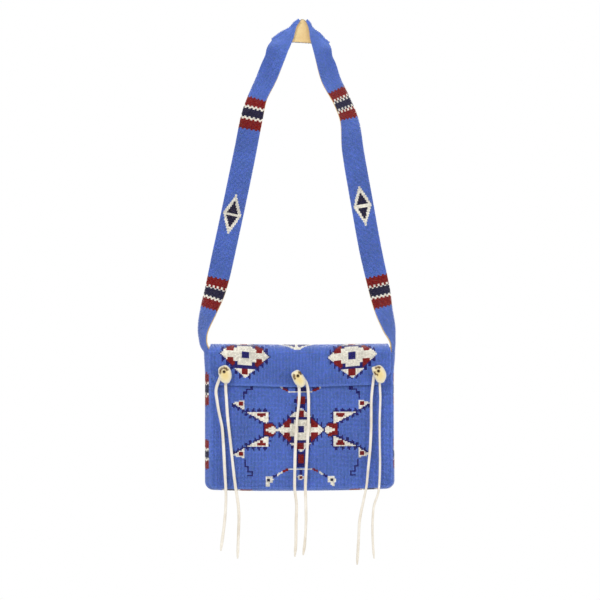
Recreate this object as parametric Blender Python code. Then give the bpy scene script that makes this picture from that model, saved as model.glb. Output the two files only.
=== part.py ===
"""Beaded hide shoulder purse, hung by its strap. Blender 4.5, metres, +Z up, the front faces -Y.

The origin is the point that the strap hangs from, at the top of its fold. The purse is tanned hide with
beads sewn over every outer face: a front, one long piece that is back, top and flap, a gusset strip round
the sides and bottom, and a strap. Each skin of beadwork is one solid on its hide, sewn in lanes, with the
design standing a little proud as fields of colour. Three drilled elk teeth hang on the flap, each over
two hide thongs.
"""
import math

import bmesh
import bpy
from mathutils import Matrix, Vector

# Materials and fits
HIDE = 0.0012
BEADS = 0.0016
CLEAR = 0.0003
BEAD_MARGIN = 0.0004

# Pouch
PANEL_WIDTH = 0.2026
FLAP_OVERHANG = 0.0020
TOP_DRAWN_IN = 0.0029
TOP_TAPER = 0.0120
POUCH_DEPTH = 0.0300
POUCH_HEIGHT = 0.1600
FLAP_DROP = 0.0482
FLAP_CORNER = 0.0135
FLAP_CUT = 0.75
TOP_RISE = 0.0090
MOUTH_STEP = 0.0015
CORNER_RADIUS = 0.0048
GUSSET_BULGE = 0.0028
GUSSET_INSET = 0.0005
BELLY = 0.0025
POUCH_OFFSET = -0.0017
PANEL_COLUMNS = 8
ARCH_STEPS = 24
GUSSET_SIDE_STEPS = 7
GUSSET_TURN_STEPS = 5
CORNER_TURNS = (0.03, 0.15, 0.35, 0.65)

# Strap
STRAP_WIDTH = 0.0254
HANG_DROP = 0.3740
FOLD_GAP = 0.0008
LEG_RUNGS = 24
FOLD_STEPS = 8

# Lanes of beads, and how far each colour of bead stands proud
LANE = 0.0114
GROOVE = 0.30
ROWS_PER_LANE = 3
WHITE_PROUD = 0.00020
RED_PROUD = 0.00030
NAVY_PROUD = 0.00040
FIELD_ROOT = 0.4

# Teeth and thongs
TOOTH_LENGTH = 0.0215
TOOTH_WIDTH = 0.0140
TOOTH_DEPTH = 0.0076
TOOTH_HOLE = 0.0024
TOOTH_SIDES = 14
TOOTH_BEND = 0.06
TOOTH_SHAPE = (
    (0.00, 0.18), (0.04, 0.42), (0.14, 0.68), (0.30, 0.88), (0.48, 0.99),
    (0.66, 1.00), (0.82, 0.88), (0.93, 0.64), (0.99, 0.30),
)
HOLE_FROM_ROOT = 0.0070
SINEW = 0.0016
SINEW_REACH = 0.8
THONG = 0.0030

# Heights and depths worked out from the sizes above
FLAP_WIDTH = PANEL_WIDTH + 2 * FLAP_OVERHANG
TOP_WIDTH = PANEL_WIDTH - 2 * TOP_DRAWN_IN
MOUTH_Z = -HANG_DROP
TOP_Z = MOUTH_Z + TOP_RISE
PANEL_BOTTOM = TOP_Z - POUCH_HEIGHT
PANEL_TOP = MOUTH_Z - MOUTH_STEP
FLAP_BOTTOM = TOP_Z - FLAP_DROP
PANEL_FACE = POUCH_DEPTH / 2
BEAD_FACE = PANEL_FACE + CLEAR + BEADS
FLAP_FACE = BEAD_FACE + CLEAR + HIDE
FLAP_BEAD_FACE = FLAP_FACE + CLEAR + BEADS
GUSSET_HALF = PANEL_WIDTH / 2 - GUSSET_INSET
GUSSET_BOTTOM = PANEL_BOTTOM + GUSSET_INSET
GUSSET_SPAN = PANEL_FACE - HIDE - CLEAR
PROUD_MOST = max(WHITE_PROUD, RED_PROUD, NAVY_PROUD)

# Ends of the two slanted folds at the top, left side first, across and up from the hanging point
FOLD_INNER = tuple((x * STRAP_WIDTH, z * STRAP_WIDTH) for x, z in ((-0.071, -0.118), (0.142, -0.126)))
FOLD_OUTER = tuple((x * STRAP_WIDTH, z * STRAP_WIDTH) for x, z in ((-1.274, -1.017), (1.090, -1.139)))
FOLD_RADIUS = HIDE + FOLD_GAP / 2
FOLD_BLEND = 0.15
FOOT_BLEND = 0.10
BULGE_BLEND = 0.30
LEVEL_BLEND = 0.12

# Strap legs: share of the way down, left and right bow outwards, left and right turn in degrees
STRAP_LEGS = (
    (0.000, 0.0000, 0.0000, 0, 0),
    (0.085, 0.0062, 0.0030, 20, 18),
    (0.148, 0.0097, 0.0044, 30, 28),
    (0.211, 0.0147, 0.0108, 36, 36),
    (0.274, 0.0158, 0.0144, 16, 32),
    (0.368, 0.0145, 0.0107, 10, 10),
    (0.525, 0.0128, 0.0075, 0, 0),
    (0.682, 0.0115, 0.0046, 0, 0),
    (0.807, 0.0106, 0.0040, 26, 16),
    (0.870, 0.0125, 0.0034, 46, 34),
    (0.932, 0.0134, 0.0046, 68, 54),
    (0.970, 0.0092, 0.0043, 80, 76),
    (1.000, 0.0000, 0.0000, 90, 90),
)

# Thong routes: which edge they are measured from (the left, the middle or the right), then across from
# there and up from the flap's lower edge
THONG_ROUTES = {
    "thong_left_outer": (-1, (
        (0.0108, 0.0142), (0.0101, 0.0107), (0.0070, 0.0028), (0.0059, -0.0042), (0.0071, -0.0143),
        (0.0090, -0.0259), (0.0111, -0.0357), (0.0129, -0.0458), (0.0144, -0.0678), (0.0156, -0.0914),
        (0.0167, -0.1108), (0.0169, -0.1255), (0.0157, -0.1450), (0.0138, -0.1606), (0.0112, -0.1801))),
    "thong_left_inner": (-1, (
        (0.0174, 0.0142), (0.0168, 0.0092), (0.0166, 0.0032), (0.0168, -0.0038), (0.0173, -0.0108),
        (0.0181, -0.0238), (0.0192, -0.0368), (0.0219, -0.0601), (0.0244, -0.0836), (0.0271, -0.1068),
        (0.0287, -0.1170), (0.0305, -0.1295), (0.0313, -0.1450), (0.0306, -0.1643), (0.0298, -0.1886))),
    "thong_centre_left": (0, (
        (-0.0083, 0.0122), (-0.0063, 0.0076), (-0.0043, 0.0027), (-0.0032, -0.0018), (-0.0034, -0.0135),
        (-0.0045, -0.0248), (-0.0058, -0.0368), (-0.0076, -0.0678), (-0.0082, -0.0918), (-0.0083, -0.1108),
        (-0.0072, -0.1208), (-0.0062, -0.1308), (-0.0067, -0.1488), (-0.0070, -0.1721), (-0.0081, -0.1871))),
    "thong_centre_right": (0, (
        (-0.0009, 0.0142), (0.0017, 0.0102), (0.0045, 0.0057), (0.0061, 0.0005), (0.0069, -0.0058),
        (0.0072, -0.0148), (0.0071, -0.0368), (0.0060, -0.0601), (0.0048, -0.0834), (0.0037, -0.1068),
        (0.0038, -0.1198), (0.0042, -0.1333), (0.0043, -0.1488), (0.0030, -0.1721), (0.0011, -0.1854))),
    "thong_right_inner": (1, (
        (-0.0208, 0.0142), (-0.0216, 0.0092), (-0.0224, 0.0032), (-0.0231, -0.0026), (-0.0240, -0.0135),
        (-0.0242, -0.0288), (-0.0243, -0.0446), (-0.0254, -0.0678), (-0.0273, -0.0875), (-0.0291, -0.1069),
        (-0.0308, -0.1168), (-0.0344, -0.1333), (-0.0372, -0.1488), (-0.0383, -0.1683), (-0.0399, -0.1968))),
    "thong_right_outer": (1, (
        (-0.0136, 0.0142), (-0.0143, 0.0092), (-0.0146, 0.0040), (-0.0142, -0.0048), (-0.0140, -0.0135),
        (-0.0147, -0.0368), (-0.0146, -0.0601), (-0.0143, -0.0834), (-0.0149, -0.1048), (-0.0165, -0.1178),
        (-0.0200, -0.1278), (-0.0219, -0.1368), (-0.0228, -0.1566), (-0.0221, -0.1762), (-0.0209, -0.1905))),
}
THONG_STEP = 0.0140

# Teeth: the hole, measured as the routes are, and how far the lower end leans to the right in degrees
TEETH = {
    "left": (-1, (0.0145, 0.0184), 9),
    "centre": (0, (-0.0054, 0.0137), 20),
    "right": (1, (-0.0171, 0.0187), 28),
}

# Half of the star's sizes, and the corners of the fields round it, across and up from its middle
STAR_REACH = 0.0262
STAR_BAR = 0.0036
STAR_HEAD = 0.0054
STAR_NECK = 0.0183
STAR_SHOULDER = (0.0104, 0.0072)
STAR_BLOCK = (0.0064, 0.0106)
STAR_EYE = (0.0028, 0.0034)
STAR_BAND = 0.0148
PEAK_REACH = 0.0240
PEAK_HALF = 0.0100
PEAK_SQUARE = (0.0028, 0.0052)
RED_SQUARE = ((0.0106, 0.0188), (0.0036, 0.0108))
BIG_TRIANGLE = ((0.0356, 0.0070), (0.0356, 0.0204), (0.0614, 0.0204))
SMALL_TRIANGLE = ((0.0626, 0.0226), (0.0630, 0.0336), (0.0760, 0.0294))
SMALL_SQUARE = ((0.0640, 0.0266), (0.0692, 0.0314))
FISH = ((0.0270, 0.0000), (0.0300, 0.0046), (0.0400, 0.0000), (0.0300, -0.0046))
FISH_BAND = ((0.0285, 0.0062), (0.0420, 0.0034), (0.0420, 0.0002), (0.0300, 0.0048))
STEM = (0.0018, 0.0250, 0.0400)
CROSS_BAR = (0.0134, 0.0412, 0.0430)
FLAP_STAR_X = 0.0592

# The middles of the stars, down from the mouth or up from the flap's edge, where the lanes are counted from
FRONT_STAR_DROP = 0.0839
BACK_STAR_DROP = 0.0760
FLAP_STAR_RISE = 0.0367
FRONT_STAR_Z = PANEL_TOP - FRONT_STAR_DROP
BACK_STAR_Z = MOUTH_Z - BACK_STAR_DROP
FLAP_STAR_Z = FLAP_BOTTOM + FLAP_STAR_RISE

BLUE = (0.089, 0.148, 0.451, 1.0)
WHITE = (0.80, 0.78, 0.72, 1.0)
RED = (0.30, 0.012, 0.014, 1.0)
NAVY = (0.018, 0.014, 0.105, 1.0)
TAN = (0.78, 0.56, 0.29, 1.0)
IVORY = (0.86, 0.76, 0.50, 1.0)
SINEW_BROWN = (0.10, 0.055, 0.025, 1.0)
CREAM = (0.80, 0.72, 0.56, 1.0)


def clear_scene():
    for item in list(bpy.data.objects):
        bpy.data.objects.remove(item, do_unlink=True)


def material(name, colour, roughness):
    made = bpy.data.materials.get(name) or bpy.data.materials.new(name)
    made.use_nodes = True
    shader = made.node_tree.nodes["Principled BSDF"]
    shader.inputs["Base Color"].default_value = colour
    shader.inputs["Roughness"].default_value = roughness
    shader.inputs["Metallic"].default_value = 0.0
    return made


def bead_material(name, colour):
    return material(name, colour, 0.28)


def add_object(name, mesh, finish):
    data = bpy.data.meshes.new(name)
    mesh.to_mesh(data)
    mesh.free()
    data.materials.append(finish)
    item = bpy.data.objects.new(name, data)
    bpy.context.collection.objects.link(item)
    return item


def sheet(name, under, over, finish):
    """One closed solid between two grids of points; the over side faces out."""
    mesh = bmesh.new()
    low = [[mesh.verts.new(p) for p in row] for row in under]
    top = [[mesh.verts.new(p) for p in row] for row in over]
    last_row = len(top) - 1
    last_col = len(top[0]) - 1
    for i in range(last_row):
        for j in range(last_col):
            mesh.faces.new((top[i][j], top[i + 1][j], top[i + 1][j + 1], top[i][j + 1]))
            mesh.faces.new((low[i][j], low[i][j + 1], low[i + 1][j + 1], low[i + 1][j]))
    for i in range(last_row):
        for j in (0, last_col):
            mesh.faces.new((top[i][j], top[i + 1][j], low[i + 1][j], low[i][j]))
    for j in range(last_col):
        for i in (0, last_row):
            mesh.faces.new((top[i][j], top[i][j + 1], low[i][j + 1], low[i][j]))
    bmesh.ops.recalc_face_normals(mesh, faces=mesh.faces)
    return add_object(name, mesh, finish)


def smooth(table, share):
    """A smooth value at share, through rows of (share, value)."""
    k = max(i for i in range(len(table) - 1) if table[i][0] <= share or i == 0)
    (s0, v0), (s1, v1) = table[k], table[k + 1]
    before = table[max(k - 1, 0)]
    after = table[min(k + 2, len(table) - 1)]
    slope0 = (v1 - before[1]) / (s1 - before[0])
    slope1 = (after[1] - v0) / (after[0] - s0)
    t = (share - s0) / (s1 - s0)
    span = s1 - s0
    return (
        (2 * t ** 3 - 3 * t ** 2 + 1) * v0
        + (t ** 3 - 2 * t ** 2 + t) * span * slope0
        + (3 * t ** 2 - 2 * t ** 3) * v1
        + (t ** 3 - t ** 2) * span * slope1
    )


def ease(t):
    t = min(max(t, 0.0), 1.0)
    return t * t * (3 - 2 * t)


def lane_steps(length):
    """Distances along a lane-sewn face with the share of the bead height there: low at each seam."""
    steps = []
    lanes = math.ceil(length / LANE)
    for lane in range(lanes):
        for k in range(ROWS_PER_LANE):
            along = (lane + k / ROWS_PER_LANE) * LANE
            if along < length - LANE / 6:
                steps.append((along, 1 - GROOVE if k == 0 else 1.0))
    steps.append((length, 1 - GROOVE))
    return steps


def plain_steps(length, count, first=0.0):
    return [(first + length * k / count, 1.0) for k in range(count + 1)]


def belly(x, z):
    """How far a panel stands out at its middle."""
    down = min(max((MOUTH_Z - z) / (MOUTH_Z - PANEL_BOTTOM), 0.0), 1.0)
    across = min(abs(x - POUCH_OFFSET) / (PANEL_WIDTH / 2), 1.0)
    return BELLY * math.cos(math.pi / 2 * across) ** 2 * math.sin(math.pi * down)


def corner_half(half, above_bottom, radius=CORNER_RADIUS):
    """Half the width of a panel with round lower corners, at a height above its bottom."""
    if above_bottom >= radius:
        return half
    fall = radius - above_bottom
    return half - radius + math.sqrt(max(radius ** 2 - fall ** 2, 0.0))


def across(half, margin, columns):
    return [POUCH_OFFSET + (half - margin) * (2 * k / columns - 1) for k in range(columns + 1)]


# The front panel


def layer(lift, thick, share, proud):
    """Heights of a layer's under and over side; a proud field starts inside the beads it stands in."""
    if proud:
        return lift + thick * FIELD_ROOT, lift + thick * share + proud
    return lift, lift + thick * share


def front_rows(steps, lift, thick, margin, columns, proud=0.0):
    """Two grids for a sheet on the front panel: its under side and its over side."""
    under, over = [], []
    for down, share in steps:
        z = PANEL_TOP - down
        half = corner_half(PANEL_WIDTH / 2, z - PANEL_BOTTOM)
        xs = across(half, margin, columns)
        low, high = layer(lift, thick, share, proud)
        under.append([Vector((x, -(PANEL_FACE + low + belly(x, z)), z)) for x in xs])
        over.append([Vector((x, -(PANEL_FACE + high + belly(x, z)), z)) for x in xs])
    return under, over


def front_hide():
    length = PANEL_TOP - PANEL_BOTTOM
    corner = [(length - CORNER_RADIUS * turn, 1.0) for turn in reversed(CORNER_TURNS)]
    steps = plain_steps(length - CORNER_RADIUS, 6) + corner
    return sheet("front_hide", *front_rows(steps, -HIDE, HIDE, 0.0, PANEL_COLUMNS), hide_finish())


def front_beadwork():
    length = PANEL_TOP - PANEL_BOTTOM - BEAD_MARGIN - CORNER_RADIUS * CORNER_TURNS[0]
    grids = front_rows(lane_steps(length), CLEAR, BEADS, BEAD_MARGIN, PANEL_COLUMNS)
    skin = sheet("front_beadwork", *grids, bead_material("blue_beads", BLUE))
    fields = star_fields(0.0, FRONT_STAR_Z) + triangle_fields(FRONT_STAR_Z)
    add_fields(skin, fields, lambda proud: front_rows(
        lane_steps(length), CLEAR, BEADS, BEAD_MARGIN + CLEAR, PANEL_COLUMNS, proud), -1)
    return skin


# The back, top and flap, one piece


def fold_line():
    """Points with their outward normals, from the back's bottom, over the top and down the flap."""
    half_fold = (PANEL_FACE + FLAP_FACE) / 2
    middle = (PANEL_FACE - FLAP_FACE) / 2
    rise = TOP_RISE - CLEAR - BEADS
    line = [(PANEL_FACE, PANEL_BOTTOM, 1.0, 0.0)]
    for k in range(ARCH_STEPS + 1):
        angle = math.pi * k / ARCH_STEPS
        nx, nz = math.cos(angle) / half_fold, math.sin(angle) / rise
        size = math.hypot(nx, nz)
        line.append((
            middle + half_fold * math.cos(angle),
            MOUTH_Z + rise * math.sin(angle),
            nx / size,
            nz / size,
        ))
    line.append((-FLAP_FACE, FLAP_BOTTOM, -1.0, 0.0))
    return line


def line_length(line):
    return sum(math.dist(a[:2], b[:2]) for a, b in zip(line, line[1:]))


def along_line(line, distance):
    """The point and normal at a distance along the line."""
    for a, b in zip(line, line[1:]):
        step = math.dist(a[:2], b[:2])
        if distance <= step or b is line[-1]:
            t = min(distance / step, 1.0)
            return [p + (q - p) * t for p, q in zip(a, b)]
        distance -= step


def fold_half(y, z):
    """Half the width of the back, top and flap piece, drawn in between the strap's ends at the top."""
    drawn_in = ease((z - MOUTH_Z + TOP_TAPER) / TOP_TAPER)
    wide = PANEL_WIDTH if y > 0 else FLAP_WIDTH
    half = (wide + (TOP_WIDTH - wide) * drawn_in) / 2
    if y > 0:
        return corner_half(half, z - PANEL_BOTTOM)
    return half - max(FLAP_BOTTOM + FLAP_CORNER - z, 0.0) * FLAP_CUT


def fold_rows(steps, lift, thick, margin, columns, proud=0.0):
    line = fold_line()
    under, over = [], []
    for along, share in steps:
        y, z, ny, nz = along_line(line, along)
        side = 1 if y > 0 else -1
        xs = across(fold_half(y, z), margin, columns)
        low, high = layer(lift, thick, share, proud)
        under.append([])
        over.append([])
        for x in xs:
            out = side * belly(x, z)
            foot = Vector((x, y + out, z))
            normal = Vector((0, ny, nz))
            under[-1].append(foot + normal * low)
            over[-1].append(foot + normal * high)
    return under, over


def back_flap_hide():
    length = line_length(fold_line())
    back = MOUTH_Z - PANEL_BOTTOM
    flap = MOUTH_Z - FLAP_BOTTOM
    corner = [(CORNER_RADIUS * turn, 1.0) for turn in CORNER_TURNS]
    wall = plain_steps(back - CORNER_RADIUS, 6, CORNER_RADIUS)
    arch = plain_steps(length - back - flap, 14, back)[1:]
    hang = plain_steps(flap - FLAP_CORNER, 3, length - flap)[1:]
    steps = corner + wall + arch + hang + [(length, 1.0)]
    return sheet("back_flap_hide", *fold_rows(steps, -HIDE, HIDE, 0.0, PANEL_COLUMNS), hide_finish())


def back_flap_beadwork():
    foot = BEAD_MARGIN + CORNER_RADIUS * CORNER_TURNS[0]
    edge = line_length(fold_line()) - BEAD_MARGIN
    steps = [(edge - up, share) for up, share in reversed(lane_steps(edge - foot))]
    skin = sheet("back_flap_beadwork", *fold_rows(steps, CLEAR, BEADS, BEAD_MARGIN, PANEL_COLUMNS),
                 bead_material("blue_beads", BLUE))

    def proud_rows(proud):
        return fold_rows(steps, CLEAR, BEADS, BEAD_MARGIN + CLEAR, PANEL_COLUMNS, proud)

    flap_fields = []
    for side in (-1, 1):
        flap_fields += star_fields(side * FLAP_STAR_X, FLAP_STAR_Z, upper=False)
    add_fields(skin, flap_fields, proud_rows, -1)
    add_fields(skin, star_fields(0.0, BACK_STAR_Z) + triangle_fields(BACK_STAR_Z), proud_rows, 1)
    return skin


# The design, as outlines of flat fields in across and up


def box(x0, x1, z0, z1):
    return [(x0, z0), (x1, z0), (x1, z1), (x0, z1)]


def mirrored(outline, across_sign, up_sign):
    return [(across_sign * x, up_sign * z) for x, z in outline]


def star_outline():
    """The stepped white bar with arrow ends, drawn right round from its right tip."""
    quarter = [
        (STAR_REACH, 0.0),
        (STAR_NECK, STAR_HEAD),
        (STAR_NECK, STAR_BAR),
        (STAR_SHOULDER[0], STAR_BAR),
        STAR_SHOULDER,
        (STAR_BLOCK[0], STAR_SHOULDER[1]),
        STAR_BLOCK,
    ]
    upper = quarter + [(-x, z) for x, z in reversed(quarter)]
    lower = [(-x, -z) for x, z in quarter[1:]] + [(x, -z) for x, z in reversed(quarter[1:])]
    return upper + lower


def star_fields(x, z, upper=True):
    fields = [("white", star_outline())]
    fields.append(("navy", box(-STAR_EYE[0], STAR_EYE[0], -STAR_EYE[1], STAR_EYE[1])))
    (in_x, out_x), (in_z, out_z) = RED_SQUARE
    for up in (1, -1) if upper else (-1,):
        for side in (-1, 1):
            square = [(in_x, in_z + CLEAR), (out_x, in_z + CLEAR), (out_x, out_z), (in_x, out_z)]
            fields.append(("red", mirrored(square, side, up)))
        band = [(-PEAK_HALF, STAR_BLOCK[1] + CLEAR), (PEAK_HALF, STAR_BLOCK[1] + CLEAR),
                (PEAK_HALF, STAR_BAND), (-PEAK_HALF, STAR_BAND)]
        fields.append(("navy", mirrored(band, 1, up)))
        peak = [(-PEAK_HALF, STAR_BAND + CLEAR), (PEAK_HALF, STAR_BAND + CLEAR), (0.0, PEAK_REACH)]
        fields.append(("white", mirrored(peak, 1, up)))
        square = box(-PEAK_SQUARE[0], PEAK_SQUARE[0], STAR_BAND + CLEAR, STAR_BAND + PEAK_SQUARE[1])
        fields.append(("red", mirrored(square, 1, up)))
    return [(colour, [(POUCH_OFFSET + x + px, z + pz) for px, pz in outline]) for colour, outline in fields]


def triangle_fields(z):
    fields = []
    for up in (1, -1):
        stem = box(-STEM[0], STEM[0], STEM[1], STEM[2])
        bar = box(-CROSS_BAR[0], CROSS_BAR[0], CROSS_BAR[1], CROSS_BAR[2])
        fields.append(("red", mirrored(stem, 1, up)))
        fields.append(("white", mirrored(bar, 1, up)))
        for side in (-1, 1):
            fields.append(("white", mirrored(BIG_TRIANGLE, side, up)))
            fields.append(("white", mirrored(SMALL_TRIANGLE, side, up)))
            (x0, z0), (x1, z1) = SMALL_SQUARE
            fields.append(("red", mirrored(box(x0, x1, z0, z1), side, up)))
            fields.append(("red", mirrored(FISH_BAND, side, up)))
    for side in (-1, 1):
        fields.append(("white", mirrored(FISH, side, 1)))
    return [(colour, [(POUCH_OFFSET + px, z + pz) for px, pz in outline]) for colour, outline in fields]


def prisms(outlines, side):
    """Straight prisms through one face of the pouch, as one cutter."""
    mesh = bmesh.new()
    near, far = side * (PANEL_FACE - HIDE), side * (FLAP_BEAD_FACE + BELLY + 2 * PROUD_MOST)
    for outline in outlines:
        base = [mesh.verts.new((x, near, z)) for x, z in outline]
        face = mesh.faces.new(base)
        made = bmesh.ops.extrude_face_region(mesh, geom=[face])
        moved = [v for v in made["geom"] if isinstance(v, bmesh.types.BMVert)]
        bmesh.ops.translate(mesh, verts=moved, vec=(0, far - near, 0))
    bmesh.ops.recalc_face_normals(mesh, faces=mesh.faces)
    return add_object("field_cutter", mesh, material("cutter", WHITE, 0.5))


def apply_boolean(item, other, operation):
    """Carries out one Boolean on item's mesh and removes the other object."""
    step = item.modifiers.new(operation, "BOOLEAN")
    step.operation = operation
    step.object = other
    step.material_mode = "TRANSFER"
    bpy.context.view_layer.update()
    seen = item.evaluated_get(bpy.context.evaluated_depsgraph_get())
    result = bpy.data.meshes.new_from_object(seen)
    item.modifiers.clear()
    old = item.data
    item.data = result
    bpy.data.meshes.remove(old)
    bpy.data.objects.remove(other, do_unlink=True)


def add_fields(skin, fields, proud_rows, side):
    """Raises the design's fields on a skin of beadwork, each in its own colour of bead."""
    for colour, shade, proud in (
        ("white", WHITE, WHITE_PROUD),
        ("red", RED, RED_PROUD),
        ("navy", NAVY, NAVY_PROUD),
    ):
        outlines = [outline for name, outline in fields if name == colour]
        raised = sheet("field", *proud_rows(proud), bead_material(colour + "_beads", shade))
        apply_boolean(raised, prisms(outlines, side), "INTERSECT")
        apply_boolean(skin, raised, "UNION")


# The gusset, round the sides and the bottom


def gusset_line():
    """Points with outward normals down the left side, along the bottom and up the right side."""
    radius = CORNER_RADIUS - GUSSET_INSET
    line = []
    for k in range(GUSSET_SIDE_STEPS):
        z = MOUTH_Z + (GUSSET_BOTTOM + radius - MOUTH_Z) * k / GUSSET_SIDE_STEPS
        line.append((-GUSSET_HALF, z, -1.0, 0.0))
    for k in range(GUSSET_TURN_STEPS + 1):
        angle = math.pi + math.pi / 2 * k / GUSSET_TURN_STEPS
        line.append((
            -GUSSET_HALF + radius * (1 + math.cos(angle)),
            GUSSET_BOTTOM + radius * (1 + math.sin(angle)),
            math.cos(angle),
            math.sin(angle),
        ))
    line.append(((radius - GUSSET_HALF) / 2, GUSSET_BOTTOM, 0.0, -1.0))
    right = [(-x, z, -nx, nz) for x, z, nx, nz in reversed(line)]
    return line + [(0.0, GUSSET_BOTTOM, 0.0, -1.0)] + right


def crown(v):
    """How far the gusset bulges at a share across its width, from -1 to 1."""
    return GUSSET_BULGE * (1 - v * v)


def gusset_rows(lift, profile):
    """Grids for a sheet on the gusset; the profile holds shares across with thickness."""
    under, over = [], []
    for x, z, nx, nz in gusset_line():
        normal = Vector((nx, 0, nz))
        under.append([])
        over.append([])
        for v, thick in profile:
            foot = Vector((POUCH_OFFSET + x, v * GUSSET_SPAN, z)) + normal * crown(v)
            under[-1].append(foot + normal * lift)
            over[-1].append(foot + normal * (lift + thick))
    return under, over


def two_lanes(thick, margin_share=0.0):
    """Across the strap or gusset: two lanes of beads side by side, low at the seam and the edges."""
    low = thick * (1 - GROOVE)
    inner = 1 - margin_share
    return [
        (-inner, low), (-0.72, thick), (-0.30, thick), (0.0, low),
        (0.30, thick), (0.72, thick), (inner, low),
    ]


def gusset_hide():
    profile = [(v / 3, HIDE) for v in range(-3, 4)]
    return sheet("gusset_hide", *gusset_rows(-HIDE, profile), hide_finish())


def gusset_beadwork():
    return sheet("gusset_beadwork", *gusset_rows(CLEAR, two_lanes(BEADS)), bead_material("blue_beads", BLUE))


# The strap


def fold_middle_and_half(side):
    """The middle of the slanted fold at the top of one leg, and half of it pointing inward."""
    k = 0 if side < 0 else 1
    inner, outer = (Vector((ends[k][0], 0, ends[k][1])) for ends in (FOLD_INNER, FOLD_OUTER))
    return (inner + outer) / 2, (inner - outer) / 2


def leg_rung(side, share):
    """The middle and the half width of the strap on one leg, at a share of the way down."""
    k = 0 if side < 0 else 1
    top, slanted = fold_middle_and_half(side)
    foot = Vector((POUCH_OFFSET + side * GUSSET_HALF, 0, MOUTH_Z + CLEAR))
    bows = [(row[0], row[1 + k]) for row in STRAP_LEGS]
    turns = [(row[0], row[3 + k]) for row in STRAP_LEGS]

    def run(at):
        return top.lerp(foot, at) + Vector((side * smooth(bows, at), 0, 0))

    middle = run(share)
    middle.y = -FOLD_RADIUS * (1 - ease(share / FOLD_BLEND))
    fall = (run(min(share + 0.02, 1.0)) - run(max(share - 0.02, 0.0))).normalized()
    inward = Vector((side * fall.z, 0, -side * fall.x))
    level = ease((share - 1 + FOOT_BLEND) / FOOT_BLEND)
    inward = inward.lerp(Vector((-side, 0, 0)), level).normalized()
    turn = math.radians(smooth(turns, share))
    flat = inward * math.cos(turn) + Vector((0, -1, 0)) * math.sin(turn)
    half = slanted.lerp(flat * (STRAP_WIDTH / 2), ease(share / FOLD_BLEND))
    return middle, half


def fold_rungs(side):
    """Rungs round one fold at the top, from its front to its back."""
    middle, half = fold_middle_and_half(side)
    away = Vector((side * abs(half.z), 0, abs(half.x))).normalized()
    rungs = []
    for step in range(1, FOLD_STEPS):
        angle = math.pi * step / FOLD_STEPS
        turned = away * math.sin(angle) + Vector((0, -math.cos(angle), 0))
        rungs.append((middle + turned * FOLD_RADIUS, half))
    return rungs


def strap_rungs():
    """Middles and half widths along the whole strap, left leg first; each half points inward."""
    shares = [(1 + math.cos(math.pi * k / LEG_RUNGS)) / 2 for k in range(LEG_RUNGS + 1)]
    left = [leg_rung(-1, share) for share in shares]
    right = [leg_rung(1, share) for share in reversed(shares)]
    left_fold = fold_rungs(-1)
    right_fold = list(reversed(fold_rungs(1)))
    (left_middle, left_half), (right_middle, right_half) = fold_middle_and_half(-1), fold_middle_and_half(1)
    back = []
    for t in (0.0, 0.35, 0.65, 1.0):
        middle = left_middle.lerp(right_middle, t) + Vector((0, FOLD_RADIUS, 0))
        back.append((middle, left_half.lerp(right_half, t)))
    return left + left_fold + back + right_fold + right


def grid_normals(grid):
    """Unit normals of a grid of points, all on one side of it."""
    normals = []
    last_row, last_col = len(grid) - 1, len(grid[0]) - 1
    for i, row in enumerate(grid):
        normals.append([])
        for j in range(len(row)):
            down = grid[min(i + 1, last_row)][j] - grid[max(i - 1, 0)][j]
            over = grid[i][min(j + 1, last_col)] - grid[i][max(j - 1, 0)]
            normals[-1].append(over.cross(down).normalized())
    return normals


def strap_rows(lift, profile):
    """Grids for a sheet on the strap; the profile holds shares across, outer edge -1, with thickness."""
    rungs = strap_rungs()
    grid = []
    count = len(rungs) - 1
    for middle, half in rungs:
        grid.append([middle + half * v for v, _ in profile])
    normals = grid_normals(grid)
    under, over = [], []
    for i, row in enumerate(grid):
        end = abs(2 * i / count - 1)
        bulge = ease((end - 1 + BULGE_BLEND) / BULGE_BLEND)
        level = ease((end - 1 + LEVEL_BLEND) / LEVEL_BLEND)
        outward = Vector((1 if 2 * i > count else -1, 0, 0))
        under.append([])
        over.append([])
        for (v, thick), point, normal in zip(profile, row, normals[i]):
            normal = normal.lerp(outward, level).normalized()
            foot = point + normal * crown(v) * bulge
            under[-1].append(foot + normal * lift)
            over[-1].append(foot + normal * (lift + thick))
    return under, over


def strap_hide():
    profile = [(v / 3, HIDE) for v in range(-3, 4)]
    return sheet("strap_hide", *strap_rows(-HIDE, profile), material("tan_hide", TAN, 0.8))


def strap_beadwork():
    profile = two_lanes(BEADS, 2 * BEAD_MARGIN / STRAP_WIDTH)
    return sheet("strap_beadwork", *strap_rows(CLEAR, profile), bead_material("blue_beads", BLUE))


# Teeth, sinew and thongs


def placed(edge, spot):
    """A spot given across from an edge of the pouch or its middle and up from the flap's lower edge."""
    return POUCH_OFFSET + edge * PANEL_WIDTH / 2 + spot[0], FLAP_BOTTOM + spot[1]


def flap_front(x, z):
    """How far the flap's beads reach towards the front there."""
    return FLAP_BEAD_FACE + PROUD_MOST + belly(x, z)


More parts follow.
